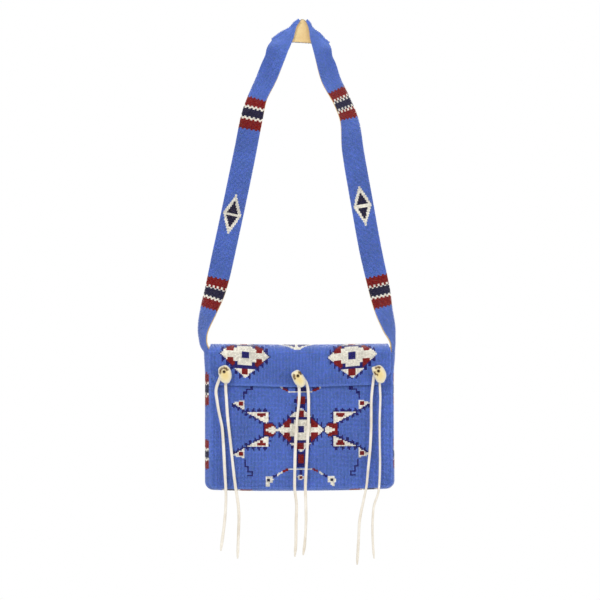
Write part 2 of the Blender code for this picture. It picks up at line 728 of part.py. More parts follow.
def tooth(name, x, z, lean):
    """An elk tooth: narrow at the root, full at the crown, drilled near the root at x and z."""
    middle_y = -(flap_front(x, z) + CLEAR + THONG + CLEAR + TOOTH_DEPTH / 2)
    sides = TOOTH_SIDES
    mesh = bmesh.new()
    rings = []
    for share, fullness in TOOTH_SHAPE:
        bend = TOOTH_BEND * TOOTH_WIDTH * math.sin(math.pi * share)
        ring = []
        for k in range(sides):
            angle = 2 * math.pi * k / sides
            ring.append(mesh.verts.new((
                bend + TOOTH_WIDTH / 2 * fullness * math.cos(angle),
                TOOTH_DEPTH / 2 * math.sqrt(fullness) * math.sin(angle),
                HOLE_FROM_ROOT - share * TOOTH_LENGTH,
            )))
        rings.append(ring)
    for upper, lower in zip(rings, rings[1:]):
        for k in range(sides):
            mesh.faces.new((upper[k], upper[(k + 1) % sides], lower[(k + 1) % sides], lower[k]))
    mesh.faces.new(rings[0])
    mesh.faces.new(rings[-1])
    bmesh.ops.recalc_face_normals(mesh, faces=mesh.faces)
    item = add_object(name, mesh, material("ivory", IVORY, 0.35))
    drill = bmesh.new()
    bmesh.ops.create_cone(drill, cap_ends=True, segments=12, radius1=TOOTH_HOLE / 2, radius2=TOOTH_HOLE / 2,
                          depth=3 * TOOTH_DEPTH, matrix=Matrix.Rotation(math.pi / 2, 4, "X"))
    apply_boolean(item, add_object("drill", drill, material("ivory", IVORY, 0.35)), "DIFFERENCE")
    item.location = (x, middle_y, z)
    item.rotation_euler = (0, -math.radians(lean), 0)
    item.data.shade_smooth()
    return item


def sinew(name, x, z):
    """The twist of sinew in the tooth's hole, from just inside its front back to the flap."""
    back = flap_front(x, z) + CLEAR
    front = flap_front(x, z) + CLEAR + THONG + CLEAR + TOOTH_DEPTH * SINEW_REACH
    mesh = bmesh.new()
    bmesh.ops.create_cone(mesh, cap_ends=True, segments=10, radius1=SINEW / 2, radius2=SINEW / 2,
                          depth=front - back, matrix=Matrix.Rotation(math.pi / 2, 4, "X"))
    item = add_object(name, mesh, material("sinew", SINEW_BROWN, 0.7))
    item.location = (x, -(front + back) / 2, z)
    return item


def smooth_route(route):
    """Points every THONG_STEP or so along a smooth curve through the route's own points."""
    fine = []
    steps = 12
    for k in range(len(route) - 1):
        before = route[max(k - 1, 0)]
        here, there = route[k], route[k + 1]
        after = route[min(k + 2, len(route) - 1)]
        for s in range(steps):
            t = s / steps
            fine.append(tuple(
                0.5 * (2 * here[a] + (there[a] - before[a]) * t
                       + (2 * before[a] - 5 * here[a] + 4 * there[a] - after[a]) * t ** 2
                       + (3 * here[a] - before[a] - 3 * there[a] + after[a]) * t ** 3)
                for a in (0, 1)))
    fine.append(tuple(route[-1]))
    length = sum(math.dist(a, b) for a, b in zip(fine, fine[1:]))
    count = round(length / THONG_STEP)
    points, walked = [fine[0]], 0.0
    for a, b in zip(fine, fine[1:]):
        walked += math.dist(a, b)
        if walked >= length / count * len(points) and len(points) < count:
            points.append(b)
    return points + [fine[-1]]


def thong(name, edge, route):
    """One hide thong, hanging straight down in front of the flap and clear of the front."""
    y = -(flap_front(*placed(edge, route[0])) + CLEAR + THONG / 2)
    points = [placed(edge, spot) for spot in smooth_route(route)]
    data = bpy.data.curves.new(name, "CURVE")
    data.dimensions = "3D"
    data.bevel_depth = THONG / 2
    data.bevel_resolution = 2
    data.use_fill_caps = True
    spline = data.splines.new("POLY")
    spline.points.add(len(points) - 1)
    for spot, (x, z) in zip(spline.points, points):
        spot.co = (x, y, z, 1)
    data.materials.append(material("cream_thong", CREAM, 0.8))
    item = bpy.data.objects.new(name, data)
    bpy.context.collection.objects.link(item)
    return item


def hide_finish():
    return material("hide", CREAM, 0.8)


def build():
    clear_scene()
    front_hide()
    front_beadwork()
    back_flap_hide()
    back_flap_beadwork()
    gusset_hide()
    gusset_beadwork()
    strap_hide()
    strap_beadwork()
    for name, (edge, hole, lean) in TEETH.items():
        x, z = placed(edge, hole)
        tooth("tooth_" + name, x, z, lean)
        sinew("sinew_" + name, x, z)
    for name, (edge, route) in THONG_ROUTES.items():
        thong(name, edge, route)


build()
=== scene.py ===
"""The beaded purse as it looks: every sewn bead, the hides, the drilled teeth and the hide thongs.

The surfaces are those of the CAD part, repeated here in metres: x to the right, y away from the viewer,
z up, from the point that the strap hangs from. The design of the beadwork is in millimetres.
"""
import math

import bmesh
import bpy
import numpy as np
from mathutils import Matrix, Vector, noise


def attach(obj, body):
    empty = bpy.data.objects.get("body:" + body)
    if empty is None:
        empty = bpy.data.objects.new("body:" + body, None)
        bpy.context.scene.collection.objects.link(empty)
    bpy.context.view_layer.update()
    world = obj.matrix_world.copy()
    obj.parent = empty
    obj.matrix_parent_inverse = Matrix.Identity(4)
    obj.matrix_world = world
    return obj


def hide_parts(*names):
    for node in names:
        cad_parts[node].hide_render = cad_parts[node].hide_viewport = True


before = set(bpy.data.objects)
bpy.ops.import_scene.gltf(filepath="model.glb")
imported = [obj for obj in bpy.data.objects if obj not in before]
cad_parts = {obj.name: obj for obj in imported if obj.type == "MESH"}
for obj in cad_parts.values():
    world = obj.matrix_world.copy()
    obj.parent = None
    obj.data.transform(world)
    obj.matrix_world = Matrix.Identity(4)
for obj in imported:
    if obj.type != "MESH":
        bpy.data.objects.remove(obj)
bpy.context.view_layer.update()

MM = 0.001

# Sizes of the CAD part
HIDE = 0.0012
BEADS = 0.0016
CLEAR = 0.0003
PANEL_WIDTH = 0.2026
FLAP_OVERHANG = 0.0020
POUCH_DEPTH = 0.0300
POUCH_HEIGHT = 0.1600
FLAP_DROP = 0.0482
TOP_RISE = 0.0090
MOUTH_STEP = 0.0015
CORNER_RADIUS = 0.0048
GUSSET_BULGE = 0.0028
GUSSET_INSET = 0.0005
BELLY = 0.0025
POUCH_OFFSET = -0.0017
STRAP_WIDTH = 0.0254
HANG_DROP = 0.3740
FOLD_GAP = 0.0008
PROUD_MOST = 0.0004
TOOTH_DEPTH = 0.0076
TOOTH_HOLE = 0.0024
THONG = 0.0030
LACE_WIDE = 0.0017
LACE_THICK = 0.0008
NARROW_LACES = {"thong_right_inner": 0.92, "thong_right_outer": 0.78}

FLAP_WIDTH = PANEL_WIDTH + 2 * FLAP_OVERHANG
MOUTH_Z = -HANG_DROP
TOP_Z = MOUTH_Z + TOP_RISE
PANEL_BOTTOM = TOP_Z - POUCH_HEIGHT
PANEL_TOP = MOUTH_Z - MOUTH_STEP
FLAP_BOTTOM = TOP_Z - FLAP_DROP
PANEL_FACE = POUCH_DEPTH / 2
BEAD_FACE = PANEL_FACE + CLEAR + BEADS
FLAP_FACE = BEAD_FACE + CLEAR + HIDE
FLAP_BEAD_FACE = FLAP_FACE + CLEAR + BEADS
GUSSET_HALF = PANEL_WIDTH / 2 - GUSSET_INSET
GUSSET_BOTTOM = PANEL_BOTTOM + GUSSET_INSET
GUSSET_SPAN = PANEL_FACE - HIDE - CLEAR
FOLD_INNER = tuple((x * STRAP_WIDTH, z * STRAP_WIDTH) for x, z in ((-0.071, -0.118), (0.142, -0.126)))
FOLD_OUTER = tuple((x * STRAP_WIDTH, z * STRAP_WIDTH) for x, z in ((-1.274, -1.017), (1.090, -1.139)))
FOLD_RADIUS = HIDE + FOLD_GAP / 2

# How far the strap's top edge arches up between its folds
TOP_ARCH = 0.0024

# How far the strap bows outwards at its folded top, at what height, how far up and down from there, how far
# across it starts and is full, and whether only its front does
TOP_BOWS = (
    (0.0030, -0.0120, 0.0130, 0.0140, 0.0000, True),
    (-0.0026, -0.0100, 0.0070, 0.0030, 0.0160, False),
    (0.0030, -0.0330, 0.0120, 0.0120, 0.0300, False),
)

# Shares of a strap leg over which it leaves the slant of its fold and comes level at its foot, shares of
# half the strap over which it loses the gusset's bulge and outward face, counted in the CAD's rungs, and
# the share over which its fall is measured
FOLD_BLEND = 0.15
FOOT_BLEND = 0.10
BULGE_BLEND = 0.30
LEVEL_BLEND = 0.12
LEG_RUNGS = 24
LAST_RUNG = 67
FALL_STEP = 0.02

# Strap legs: share of the way down, left and right bow outwards, left and right turn in degrees
STRAP_LEGS = (
    (0.000, 0.0000, 0.0000, 0, 0),
    (0.085, 0.0062, 0.0030, 20, 18),
    (0.148, 0.0097, 0.0044, 30, 28),
    (0.211, 0.0147, 0.0108, 36, 36),
    (0.274, 0.0158, 0.0144, 16, 32),
    (0.368, 0.0145, 0.0107, 10, 10),
    (0.525, 0.0128, 0.0075, 0, 0),
    (0.682, 0.0115, 0.0046, 0, 0),
    (0.807, 0.0106, 0.0040, 26, 16),
    (0.870, 0.0125, 0.0034, 46, 34),
    (0.932, 0.0134, 0.0046, 68, 54),
    (0.970, 0.0092, 0.0043, 80, 76),
    (1.000, 0.0000, 0.0000, 90, 90),
)

# Thong routes: which edge they are measured from (the left, the middle or the right), then across from
# there and up from the flap's lower edge
THONG_ROUTES = {
    "thong_left_outer": (-1, (
        (0.0108, 0.0142), (0.0101, 0.0107), (0.0070, 0.0028), (0.0059, -0.0042), (0.0071, -0.0143),
        (0.0090, -0.0259), (0.0111, -0.0357), (0.0129, -0.0458), (0.0144, -0.0678), (0.0156, -0.0914),
        (0.0167, -0.1108), (0.0169, -0.1255), (0.0157, -0.1450), (0.0138, -0.1606), (0.0112, -0.1801))),
    "thong_left_inner": (-1, (
        (0.0174, 0.0142), (0.0168, 0.0092), (0.0166, 0.0032), (0.0168, -0.0038), (0.0173, -0.0108),
        (0.0181, -0.0238), (0.0192, -0.0368), (0.0219, -0.0601), (0.0244, -0.0836), (0.0271, -0.1068),
        (0.0287, -0.1170), (0.0305, -0.1295), (0.0313, -0.1450), (0.0306, -0.1643), (0.0298, -0.1886))),
    "thong_centre_left": (0, (
        (-0.0083, 0.0122), (-0.0063, 0.0076), (-0.0043, 0.0027), (-0.0032, -0.0018), (-0.0034, -0.0135),
        (-0.0045, -0.0248), (-0.0058, -0.0368), (-0.0076, -0.0678), (-0.0082, -0.0918), (-0.0083, -0.1108),
        (-0.0072, -0.1208), (-0.0062, -0.1308), (-0.0067, -0.1488), (-0.0070, -0.1721), (-0.0081, -0.1871))),
    "thong_centre_right": (0, (
        (-0.0009, 0.0142), (0.0017, 0.0102), (0.0045, 0.0057), (0.0061, 0.0005), (0.0069, -0.0058),
        (0.0072, -0.0148), (0.0071, -0.0368), (0.0060, -0.0601), (0.0048, -0.0834), (0.0037, -0.1068),
        (0.0038, -0.1198), (0.0042, -0.1333), (0.0043, -0.1488), (0.0030, -0.1721), (0.0011, -0.1854))),
    "thong_right_inner": (1, (
        (-0.0208, 0.0142), (-0.0216, 0.0092), (-0.0224, 0.0032), (-0.0231, -0.0026), (-0.0240, -0.0135),
        (-0.0242, -0.0288), (-0.0243, -0.0446), (-0.0254, -0.0678), (-0.0273, -0.0875), (-0.0291, -0.1069),
        (-0.0308, -0.1168), (-0.0344, -0.1333), (-0.0372, -0.1488), (-0.0383, -0.1683), (-0.0399, -0.1968))),
    "thong_right_outer": (1, (
        (-0.0136, 0.0142), (-0.0143, 0.0092), (-0.0146, 0.0040), (-0.0142, -0.0048), (-0.0140, -0.0135),
        (-0.0147, -0.0368), (-0.0146, -0.0601), (-0.0143, -0.0834), (-0.0149, -0.1048), (-0.0165, -0.1178),
        (-0.0200, -0.1278), (-0.0219, -0.1368), (-0.0228, -0.1566), (-0.0221, -0.1762), (-0.0209, -0.1905))),
}

# Teeth: the hole, measured as the routes are, the outline round it in millimetres, clockwise from the top,
# and the stains round the hole: which way each lies from it and how far it spreads, in degrees
TEETH = {
    "left": (-1, (0.0145, 0.0184), (
        (0.6, 7.2), (4.2, 5.9), (6.9, 2.5), (8.4, -4.0), (6.9, -10.6), (3.0, -13.3), (-2.2, -11.4),
        (-4.8, -7.1), (-6.1, -1.0), (-5.6, 4.3)), ((95, 75), (185, 20))),
    "centre": (0, (-0.0054, 0.0137), (
        (-0.3, 6.5), (3.2, 4.5), (6.7, -1.2), (8.8, -6.4), (7.0, -11.4), (2.5, -12.9), (-2.7, -9.0),
        (-5.9, -2.5), (-6.9, 2.3), (-4.2, 4.9)), ((195, 38), (50, 30))),
    "right": (1, (-0.0171, 0.0187), (
        (1.4, 6.5), (6.0, 3.3), (9.2, -4.5), (7.4, -11.0), (3.9, -13.6), (-0.8, -12.2), (-4.8, -5.1),
        (-7.4, 3.2), (-3.4, 5.2)), ((100, 40), (225, 35))),
}

# The stains' radius, the steps of a tooth's mesh, how square its sides are, its dents with their scales
# and their change from tooth to tooth, and the sinew in its hole
STAIN_RADIUS = 0.0040
TOOTH_SIDES = 44
TOOTH_STEPS = 9
TOOTH_SQUARENESS = 0.8
TOOTH_DENTS = 0.05
DENT_SCALE = 260
DENT_DEPTH_SCALE = 200
DENT_CHANGE = 40
SINEW_REACH = 0.80
SINEW_PLAY = 0.0001
SINEW_SIDES = 24
SINEW_STEPS = 14
SINEW_GROOVES = 0.12

# Laces: steps to a stretch of route, points round, how square the section is, how far the lace turns
# either way, how fast, and over what length that starts, how ragged its edges are and how often, and the
# length that narrows to its tip, and how narrow that is
LACE_STEPS = 8
LACE_SIDES = 10
LACE_SQUARENESS = -0.45
LACE_TWIST = 0.55
TWIST_RATE = 34
TWIST_START = 0.03
LACE_RAGGED = 0.07
RAGS_SCALE = 90
LACE_TIP = 0.012
LACE_TIP_WIDTH = 0.45

# Where the middles of the stars are: across from the pouch's middle, and up
FRONT_STAR = (-0.0013, PANEL_BOTTOM + 0.0649)
BACK_STAR = (0.0, PANEL_BOTTOM + 0.0750)
FLAP_STARS = ((-0.0634, 0.0385), (0.0563, 0.0377))
FLAP_STAR_SCALE = 1.05

# The front tip of the lozenge on the top, the ends of the dark eyes in the stars, and half the width of
# the spikes' tips, in millimetres
LOZENGE_TIP = (-5.2, 46.6)
PANEL_EYE = (-1.9, 3.5)
FLAP_EYES = ((-2.8, 4.3), (-3.6, 3.6))
SPIKE_TIP = 0.8

# The right side of the front's design is drawn out between its star and its edge: how far in all, from
# where, and over what length
RIGHT_DRAWN = 0.0026
DRAWN_FROM = 0.036
DRAWN_SPAN = 0.025

# Bars and diamonds of the strap and gusset, in millimetres from their middles. The zigzags repeat after so
# many beads, and a diamond's dark inside is a share of its size.
BAR_RED_END = 17.6
BAR_DARK_END = 6.4
BAR_LINE = 6.1
BAR_LINE_HALF = 1.2
ZIGZAG_REACH = 1.7
ZIGZAG_BEADS = 4
DIAMOND_WIDE = 10.4
DIAMOND_LONG = 23.8
DIAMOND_INSIDE = 0.66
DIAMOND_GAP = 1.8

# Where they are: on the strap, sides and rows of the photograph; on the gusset's sides, heights and scales;
# on its bottom, so far out from the middle, in part. FAR is beyond the whole purse.
STRAP_BARS = ((-1, 114.3), (-1, 292.5), (1, 103.5), (1, 290.7))
STRAP_DIAMONDS = ((-1, 213.5), (1, 205.3))
GUSSET_BARS = ((-0.4157, 1.03), (-0.4877, 0.95))
BOTTOM_BAR_OUT = 0.0765
BOTTOM_BAR_SCALE = 1.3
BAR_PART_FROM = -0.010
FAR = 9.0

# Bead sewing: beads to a lane, columns across a panel, how far a lane rises between its seams, and what
# stays free at a panel's mouth, bottom and sides
LANE_BEADS = 8
COLUMNS = 129
PANEL_LANES = 13
FLAP_LANES = 7
RIBBON_LANES = 2
RIBBON_LANE_BEADS = 10
RIBBON_PITCH = 0.00136
PITCH = PANEL_WIDTH / COLUMNS
BEAD_MIDDLE = CLEAR + BEADS / 2
LANE_RISE = 0.00030
MOUTH_SPARE = 0.0002
BOTTOM_SPARE = 0.0004
SIDE_SPARE = 0.0003

# How uneven the beads are: in place across and along, in turn, in size and in height; then how far they
# give with the surface, and the step that its slope is measured over
UNEVEN_ACROSS = 0.035
UNEVEN_ALONG = 0.025
UNEVEN_TURN = 0.06
UNEVEN_SIZE = 0.035
UNEVEN_HEIGHT = 0.04
STRETCH_LIMITS = (0.6, 2.5)
SLOPE_STEP = 0.0002

# Bake maps: the margin, and how much longer and wider than its beads a column of a folded strip is
MAP_MARGIN = 0.001
MAP_LONGER = 1.02
MAP_WIDER = 1.06

# The left side stands out more than the right, both most of all at the top, and the right is drawn in
# above its lower bar
LEFT_OUT = 0.0014
LEFT_TOP_OUT = 0.0012
RIGHT_TOP_OUT = 0.0010
RIGHT_IN = 0.0008
RIGHT_IN_FROM = -0.4920
SIDE_FADE = 0.0260
FOOT_REACH = 0.0200

# Rolled edging: its outer radius on the panels, and on the flap, where its outside is the flap's edge
ROLL_OUTER = HIDE + CLEAR + BEADS
EDGE_ROLL = HIDE / 2 + CLEAR + BEADS

# The rows of beads round each roll, what a bead takes and what they all take, in degrees, and the columns
# of its bake map; then how finely the flap's edge is drawn and how often smoothed, and how finely any
# strip is measured
PANEL_ROLL = ((12.0, 42.0, 72.0), 34, 110, 6)
FLAP_ROLL = ((8.0, 44.0, 80.0, 116.0, 152.0), 42, 190, 5)
EDGE_STEPS = 600
EDGE_SMOOTHINGS = 12
WALK_STEPS = 4000

# The flap's rows slide down between the strap's ends: by so much at its edge and over the top. The flap
# also hangs a little to the left, the top dips, and the bottom sags between its corners.
SLIDE_EDGE = 0.0018
SLIDE_TOP = 0.0050
SLIDE_FULL = 0.0320
FLAP_SHIFT = 0.0018
TOP_HALF = 0.1013
TOP_DIP = 0.0008
DIP_FADE = 0.0600
BOTTOM_SAG = 0.0019
FLAP_LIFT = 0.0017
FLAP_CORNER = 0.0160
FLAP_CUT = 0.62

# Steps of the surfaces: round the pouch's fold, which starts so far under the flap's edge, down a leg,
# round a fold of the strap, across its back, and the gusset's side, corner and half bottom; then of the
# hides across, round a corner and along, how far round a corner they go, and how far their edges stand
# out, as a share of their thickness
FOLD_STEPS = 96
FOLD_SPARE = 0.010
LEG_STEPS = 150
STRAP_FOLD_STEPS = 24
STRAP_BACK_STEPS = 12
GUSSET_STEPS = (60, 24, 40)
HIDE_ACROSS = 60
RIBBON_ACROSS = 10
CORNER_STEPS = 10
FRONT_STEPS = 60
BACK_STEPS = 120
CORNER_TURN = 0.46 * math.pi
HIDE_ROUNDING = 0.35

BLUE, WHITE, RED, NAVY, MIDNIGHT = range(5)
BEAD_COLOURS = {
    "blue": (97, 129, 211),
    "white": (250, 246, 234),
    "red": (143, 5, 9),
    "navy": (32, 28, 122),
    "midnight": (32, 26, 66),
}

# The camera, from the photograph, of which a pixel is so many millimetres
AIM = Vector((-0.00224, 0.0, -0.3158))
DISTANCE = 2.2
AZIMUTH = math.radians(-4.4)
LENS = 117.8
SENSOR = 36.0
PHOTO_MIDDLE = 300
PIXEL = 1.12

# Light: the strength of the world as the object sees it, and each lamp's place, size and power
WORLD_STRENGTH = 0.55
LAMPS = {
    "key_light": ((-0.9, -1.7, 0.75), 0.9, 17.0),
    "fill_light": ((1.3, -1.5, -0.1), 1.0, 8.0),
    "back_light": ((0.4, 1.8, 0.6), 1.0, 14.0),
}
LAMP_AIM = AIM - Vector((0, 0, 0.1))
FLOOR_RADIUS = 0.85
FLOOR_Z = -0.80


# Camera, curves and meshes


def make_camera():
    data = bpy.data.cameras.new("camera")
    data.lens = LENS
    data.sensor_width = SENSOR
    camera = bpy.data.objects.new("camera", data)
    camera.location = AIM + DISTANCE * Vector((math.sin(AZIMUTH), -math.cos(AZIMUTH), 0))
    camera.rotation_euler = (math.pi / 2, 0, AZIMUTH)
    bpy.context.collection.objects.link(camera)
    bpy.context.scene.camera = camera


def placed(edge, spot):
    """A spot given across from an edge of the pouch or its middle and up from the flap's lower edge."""
    return POUCH_OFFSET + edge * PANEL_WIDTH / 2 + spot[0], FLAP_BOTTOM + spot[1]


def ease(t):
    t = np.clip(t, 0.0, 1.0)
    return t * t * (3 - 2 * t)


def unit(vectors):
    return vectors / np.linalg.norm(vectors, axis=-1)[..., None]


def distances(points):
    """How far along a line each of its points lies."""
    return np.concatenate(([0.0], np.cumsum(np.linalg.norm(np.diff(points, axis=0), axis=1))))


def read_off(at, known, table):
    """The rows of a table at places between the known ones."""
    return np.stack([np.interp(at, known, column) for column in table.T], -1)


def curve_point(before, here, there, after, t):
    """A point between here and there, on a smooth curve through all four."""
    return tuple(0.5 * (2 * h + (n - b) * t + (2 * b - 5 * h + 4 * n - a) * t ** 2
                        + (3 * h - b - 3 * n + a) * t ** 3)
                 for b, h, n, a in zip(before, here, there, after))


def smooth_route(route):
    """Points along a smooth curve through the route's own points."""
    corners = [route[0], *route, route[-1]]
    fine = [curve_point(*corners[k:k + 4], step / LACE_STEPS)
            for k in range(len(route) - 1) for step in range(LACE_STEPS)]
    return fine + [route[-1]]


def closed_curve(corners, count):
    """Points along a smooth closed curve through the corners."""
    made = []
    for k in range(count):
        i, t = divmod(k * len(corners) / count, 1)
        made.append(curve_point(*(corners[(int(i) + n) % len(corners)] for n in (-1, 0, 1, 2)), t))
    return made


def new_object(name, mesh, *finishes):
    """An object of the purse, with a slot for each finish."""
    item = bpy.data.objects.new(name, mesh)
    bpy.context.collection.objects.link(item)
    for finish in finishes:
        mesh.materials.append(finish)
    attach(item, "root")
    return item


def mesh_data(name, mesh):
    """Mesh data made of a bmesh, which is freed."""
    data = bpy.data.meshes.new(name)
    mesh.to_mesh(data)
    mesh.free()
    return data


def from_bmesh(name, mesh, finish):
    """An object with smooth faces that look outwards."""
    bmesh.ops.recalc_face_normals(mesh, faces=mesh.faces)
    data = mesh_data(name, mesh)
    data.polygons.foreach_set("use_smooth", [True] * len(data.polygons))
    return new_object(name, data, finish)


def join_rings(mesh, rings):
    """Faces between each ring of points and the next."""
    for near, far in zip(rings, rings[1:]):
        for k in range(len(near)):
            after = (k + 1) % len(near)
            mesh.faces.new((near[k], near[after], far[after], far[k]))


def tube(name, rows, finish, sharp):
    """A closed tube through rings of places, with edges that are sharp from so many degrees on."""
    mesh = bmesh.new()
    rings = [[mesh.verts.new(place) for place in row] for row in rows]
    join_rings(mesh, rings)
    mesh.faces.new(rings[0])
    mesh.faces.new(rings[-1])
    item = from_bmesh(name, mesh, finish)
    item.data.set_sharp_from_angle(angle=math.radians(sharp))
    return item


# Materials

NONE = (0, 0, 0, 1)
ALL = (1, 1, 1, 1)


def linear(colour):
    """A colour given as three whole numbers up to 255, as light."""
    shares = [part / 255 for part in colour]
    return tuple(s / 12.92 if s <= 0.04045 else ((s + 0.055) / 1.055) ** 2.4 for s in shares) + (1.0,)


class Nodes:
    """Short ways to build a tree of nodes."""

    def __init__(self, owner):
        owner.use_nodes = True
        self.tree = owner.node_tree

    def fill(self, node, inputs):
        """Puts values, or links from other nodes' outputs, into a node's inputs."""
        for key, value in inputs.items():
            if isinstance(value, bpy.types.NodeSocket):
                self.tree.links.new(value, node.inputs[key])
            else:
                node.inputs[key].default_value = value

    def add(self, kind, inputs, **settings):
        node = self.tree.nodes.new(kind)
        for key, value in settings.items():
            setattr(node, key, value)
        self.fill(node, inputs)
        return node

    def sum(self, operation, first, second):
        return self.add("ShaderNodeMath", {0: first, 1: second}, operation=operation).outputs[0]


class Finish(Nodes):
    """A new material and the nodes that finishes are made of."""

    def __init__(self, name):
        self.material = bpy.data.materials.new(name)
        super().__init__(self.material)
        self.shader = self.tree.nodes["Principled BSDF"]
        self.place = self.add("ShaderNodeTexCoord", {}).outputs["Object"]

    def noise(self, scale, detail=2.0, roughness=0.5):
        inputs = {"Vector": self.place, "Scale": scale, "Detail": detail, "Roughness": roughness}
        return self.add("ShaderNodeTexNoise", inputs).outputs["Fac"]

    def ramp(self, value, *stops):
        node = self.add("ShaderNodeValToRGB", {"Fac": value})
        elements = node.color_ramp.elements
        while len(elements) < len(stops):
            elements.new(0.5)
        for element, (position, colour) in zip(elements, stops):
            element.position = position
            element.color = colour
        return node.outputs["Color"]

    def span(self, value, low, high, start=0.0, end=1.0):
        """The value, with its range from start to end spread from low to high."""
        inputs = {"Value": value, "From Min": start, "From Max": end, "To Min": low, "To Max": high}
        return self.add("ShaderNodeMapRange", inputs).outputs["Result"]

    def vector(self, operation, *inputs):
        return self.add("ShaderNodeVectorMath", dict(enumerate(inputs)), operation=operation).outputs

    def mix(self, factor, first, second):
        return self.add("ShaderNodeMix", {"Factor": factor, 6: first, 7: second}, data_type="RGBA").outputs[2]

    def shade(self, colour, value, hue=0.5):
        inputs = {"Hue": hue, "Value": value, "Color": colour}
        return self.add("ShaderNodeHueSaturation", inputs).outputs["Color"]

    def bump(self, height, strength, distance):
        node = self.add("ShaderNodeBump", {"Strength": strength, "Distance": distance, "Height": height})
        self.fill(self.shader, {"Normal": node.outputs["Normal"]})

    def finish(self, colour, roughness, specular):
        self.fill(self.shader, {"Base Color": colour, "Roughness": roughness,
                                "Specular IOR Level": specular})
        return self.material


def bead_finish(name, colour):
    """Glass beads: each its own shade, in strings of slightly different dye lots."""
    nodes = Finish("bead_" + name)
    each = nodes.add("ShaderNodeNewGeometry", {}).outputs["Random Per Island"]
    lots = nodes.noise(scale=34.0, detail=3.0)
    value = nodes.sum("MULTIPLY", nodes.span(each, 0.84, 1.14), nodes.span(lots, 0.90, 1.10, 0.3, 0.7))
    tone = nodes.shade(linear(colour), value, hue=nodes.span(each, 0.494, 0.506))
    return nodes.finish(tone, roughness=nodes.span(lots, 0.24, 0.34), specular=0.45)


def hide_finish(name, colour, dark):
    """Tanned hide: cloudy, with a fine nap."""
    nodes = Finish(name)
    clouds = nodes.noise(scale=55.0, detail=4.0, roughness=0.6)
    nap = nodes.noise(scale=2600.0, detail=3.0, roughness=0.7)
    cloudy = nodes.ramp(clouds, (0.30, linear(dark)), (0.66, linear(colour)))
    nodes.bump(nap, strength=0.5, distance=0.0002)
    return nodes.finish(nodes.shade(cloudy, nodes.span(nap, 0.88, 1.10, 0.25, 0.75)),
                        roughness=nodes.span(nap, 0.78, 0.95), specular=0.2)


def sinew_finish():
    """Dark sinew with light strands."""
    nodes = Finish("dark_sinew")
    strands = nodes.noise(scale=900.0, detail=3.0, roughness=0.6)
    tone = nodes.ramp(strands, (0.3, linear((46, 22, 2))), (0.7, linear((104, 62, 14))))
    nodes.bump(strands, strength=0.6, distance=0.0003)
    return nodes.finish(tone, roughness=nodes.span(strands, 0.5, 0.8), specular=0.3)


def tooth_finish(name, stains):
    """Elk ivory: a warm middle, a pale rim, brown stains round the drilled hole, and painted shade in the
    hole and on the ivory just round it.
    """
    nodes = Finish("elk_ivory_" + name)
    parts = nodes.add("ShaderNodeSeparateXYZ", {"Vector": nodes.place}).outputs
    flat = nodes.add("ShaderNodeCombineXYZ", {"X": parts["X"], "Z": parts["Z"]}).outputs["Vector"]
    away = nodes.vector("LENGTH", flat)["Value"]
    course = nodes.vector("NORMALIZE", flat)["Vector"]
    clouds = nodes.noise(scale=420.0, detail=4.0, roughness=0.6)
    depth = nodes.span(parts["Y"], 0.0, 1.0, 0.0, -TOOTH_DEPTH / 2)
    tone = nodes.ramp(depth, (0.35, linear((244, 238, 216))), (0.80, linear((240, 224, 176))),
                      (0.98, linear((238, 214, 148))))
    brown = nodes.ramp(clouds, (0.55, NONE), (0.80, (0.5, 0.5, 0.5, 1)))
    tone = nodes.mix(brown, tone, linear((196, 150, 88)))
    where = 0.0
    for angle, spread_out in stains:
        way = (math.cos(math.radians(angle)), 0.0, math.sin(math.radians(angle)))
        edge = math.cos(math.radians(spread_out))
        turn = nodes.vector("DOT_PRODUCT", course, way)["Value"]
        where = nodes.sum("MAXIMUM", where, nodes.span(turn, 0.0, 1.0, edge - 0.15, edge + 0.05))
    worn = nodes.sum("ADD", away, nodes.span(clouds, -0.0009, 0.0009, 0.3, 0.7))
    band = nodes.ramp(nodes.span(worn, 0.0, 1.0, 0.0, 2 * STAIN_RADIUS),
                      (0.30, NONE), (0.44, ALL), (0.60, ALL), (0.76, NONE))
    tone = nodes.mix(nodes.sum("MULTIPLY", band, where), tone, linear((104, 72, 26)))
    # Painted shade: the drilled hole's walls are dark brown, fading out over the ivory to twice the hole's
    # radius
    hole = nodes.ramp(nodes.span(away, 0.0, 1.0, TOOTH_HOLE * 0.5, TOOTH_HOLE), (0.0, ALL), (1.0, NONE))
    tone = nodes.mix(hole, tone, linear((64, 36, 6)))
    nodes.bump(clouds, strength=0.3, distance=0.0003)
    return nodes.finish(tone, roughness=nodes.span(clouds, 0.28, 0.45), specular=0.5)


# Surfaces: each gives points of a hide's outer face from two coordinates, and a lift stands off it

FOLD_RISE = TOP_RISE - CLEAR - BEADS
BACK_LENGTH = MOUTH_Z - PANEL_BOTTOM


def lane_rise(at, lane):
    """How far the beads of a lane arch up between its seams."""
    return LANE_RISE * np.abs(np.sin(np.pi * at / lane))


def side_and_down(x, z):
    """How far out from the pouch's middle and down from its mouth a place is, as shares."""
    side = np.clip(np.abs(x - POUCH_OFFSET) / (PANEL_WIDTH / 2), 0.0, 1.0)
    return side, np.clip((MOUTH_Z - z) / BACK_LENGTH, 0.0, 1.0)


def belly(x, z):
    """How far a panel stands out at its middle."""
    side, down = side_and_down(x, z)
    return BELLY * np.cos(np.pi / 2 * side) ** 2 * np.sin(np.pi * down)


def flap_front(x, z):
    """How far the flap's beads reach towards the front there."""
    return float(FLAP_BEAD_FACE + PROUD_MOST + belly(x, z))


def settled(points):
    """The bag's points, with the lower corners raised a little against the sagging bottom."""
    side, down = side_and_down(points[..., 0], points[..., 2])
    points[..., 2] += BOTTOM_SAG * side ** 3 * down ** 3
    return points


def front_point(x, z, lift=0.0):
    return settled(np.stack((x, -(PANEL_FACE + lift + belly(x, z)), z), -1))


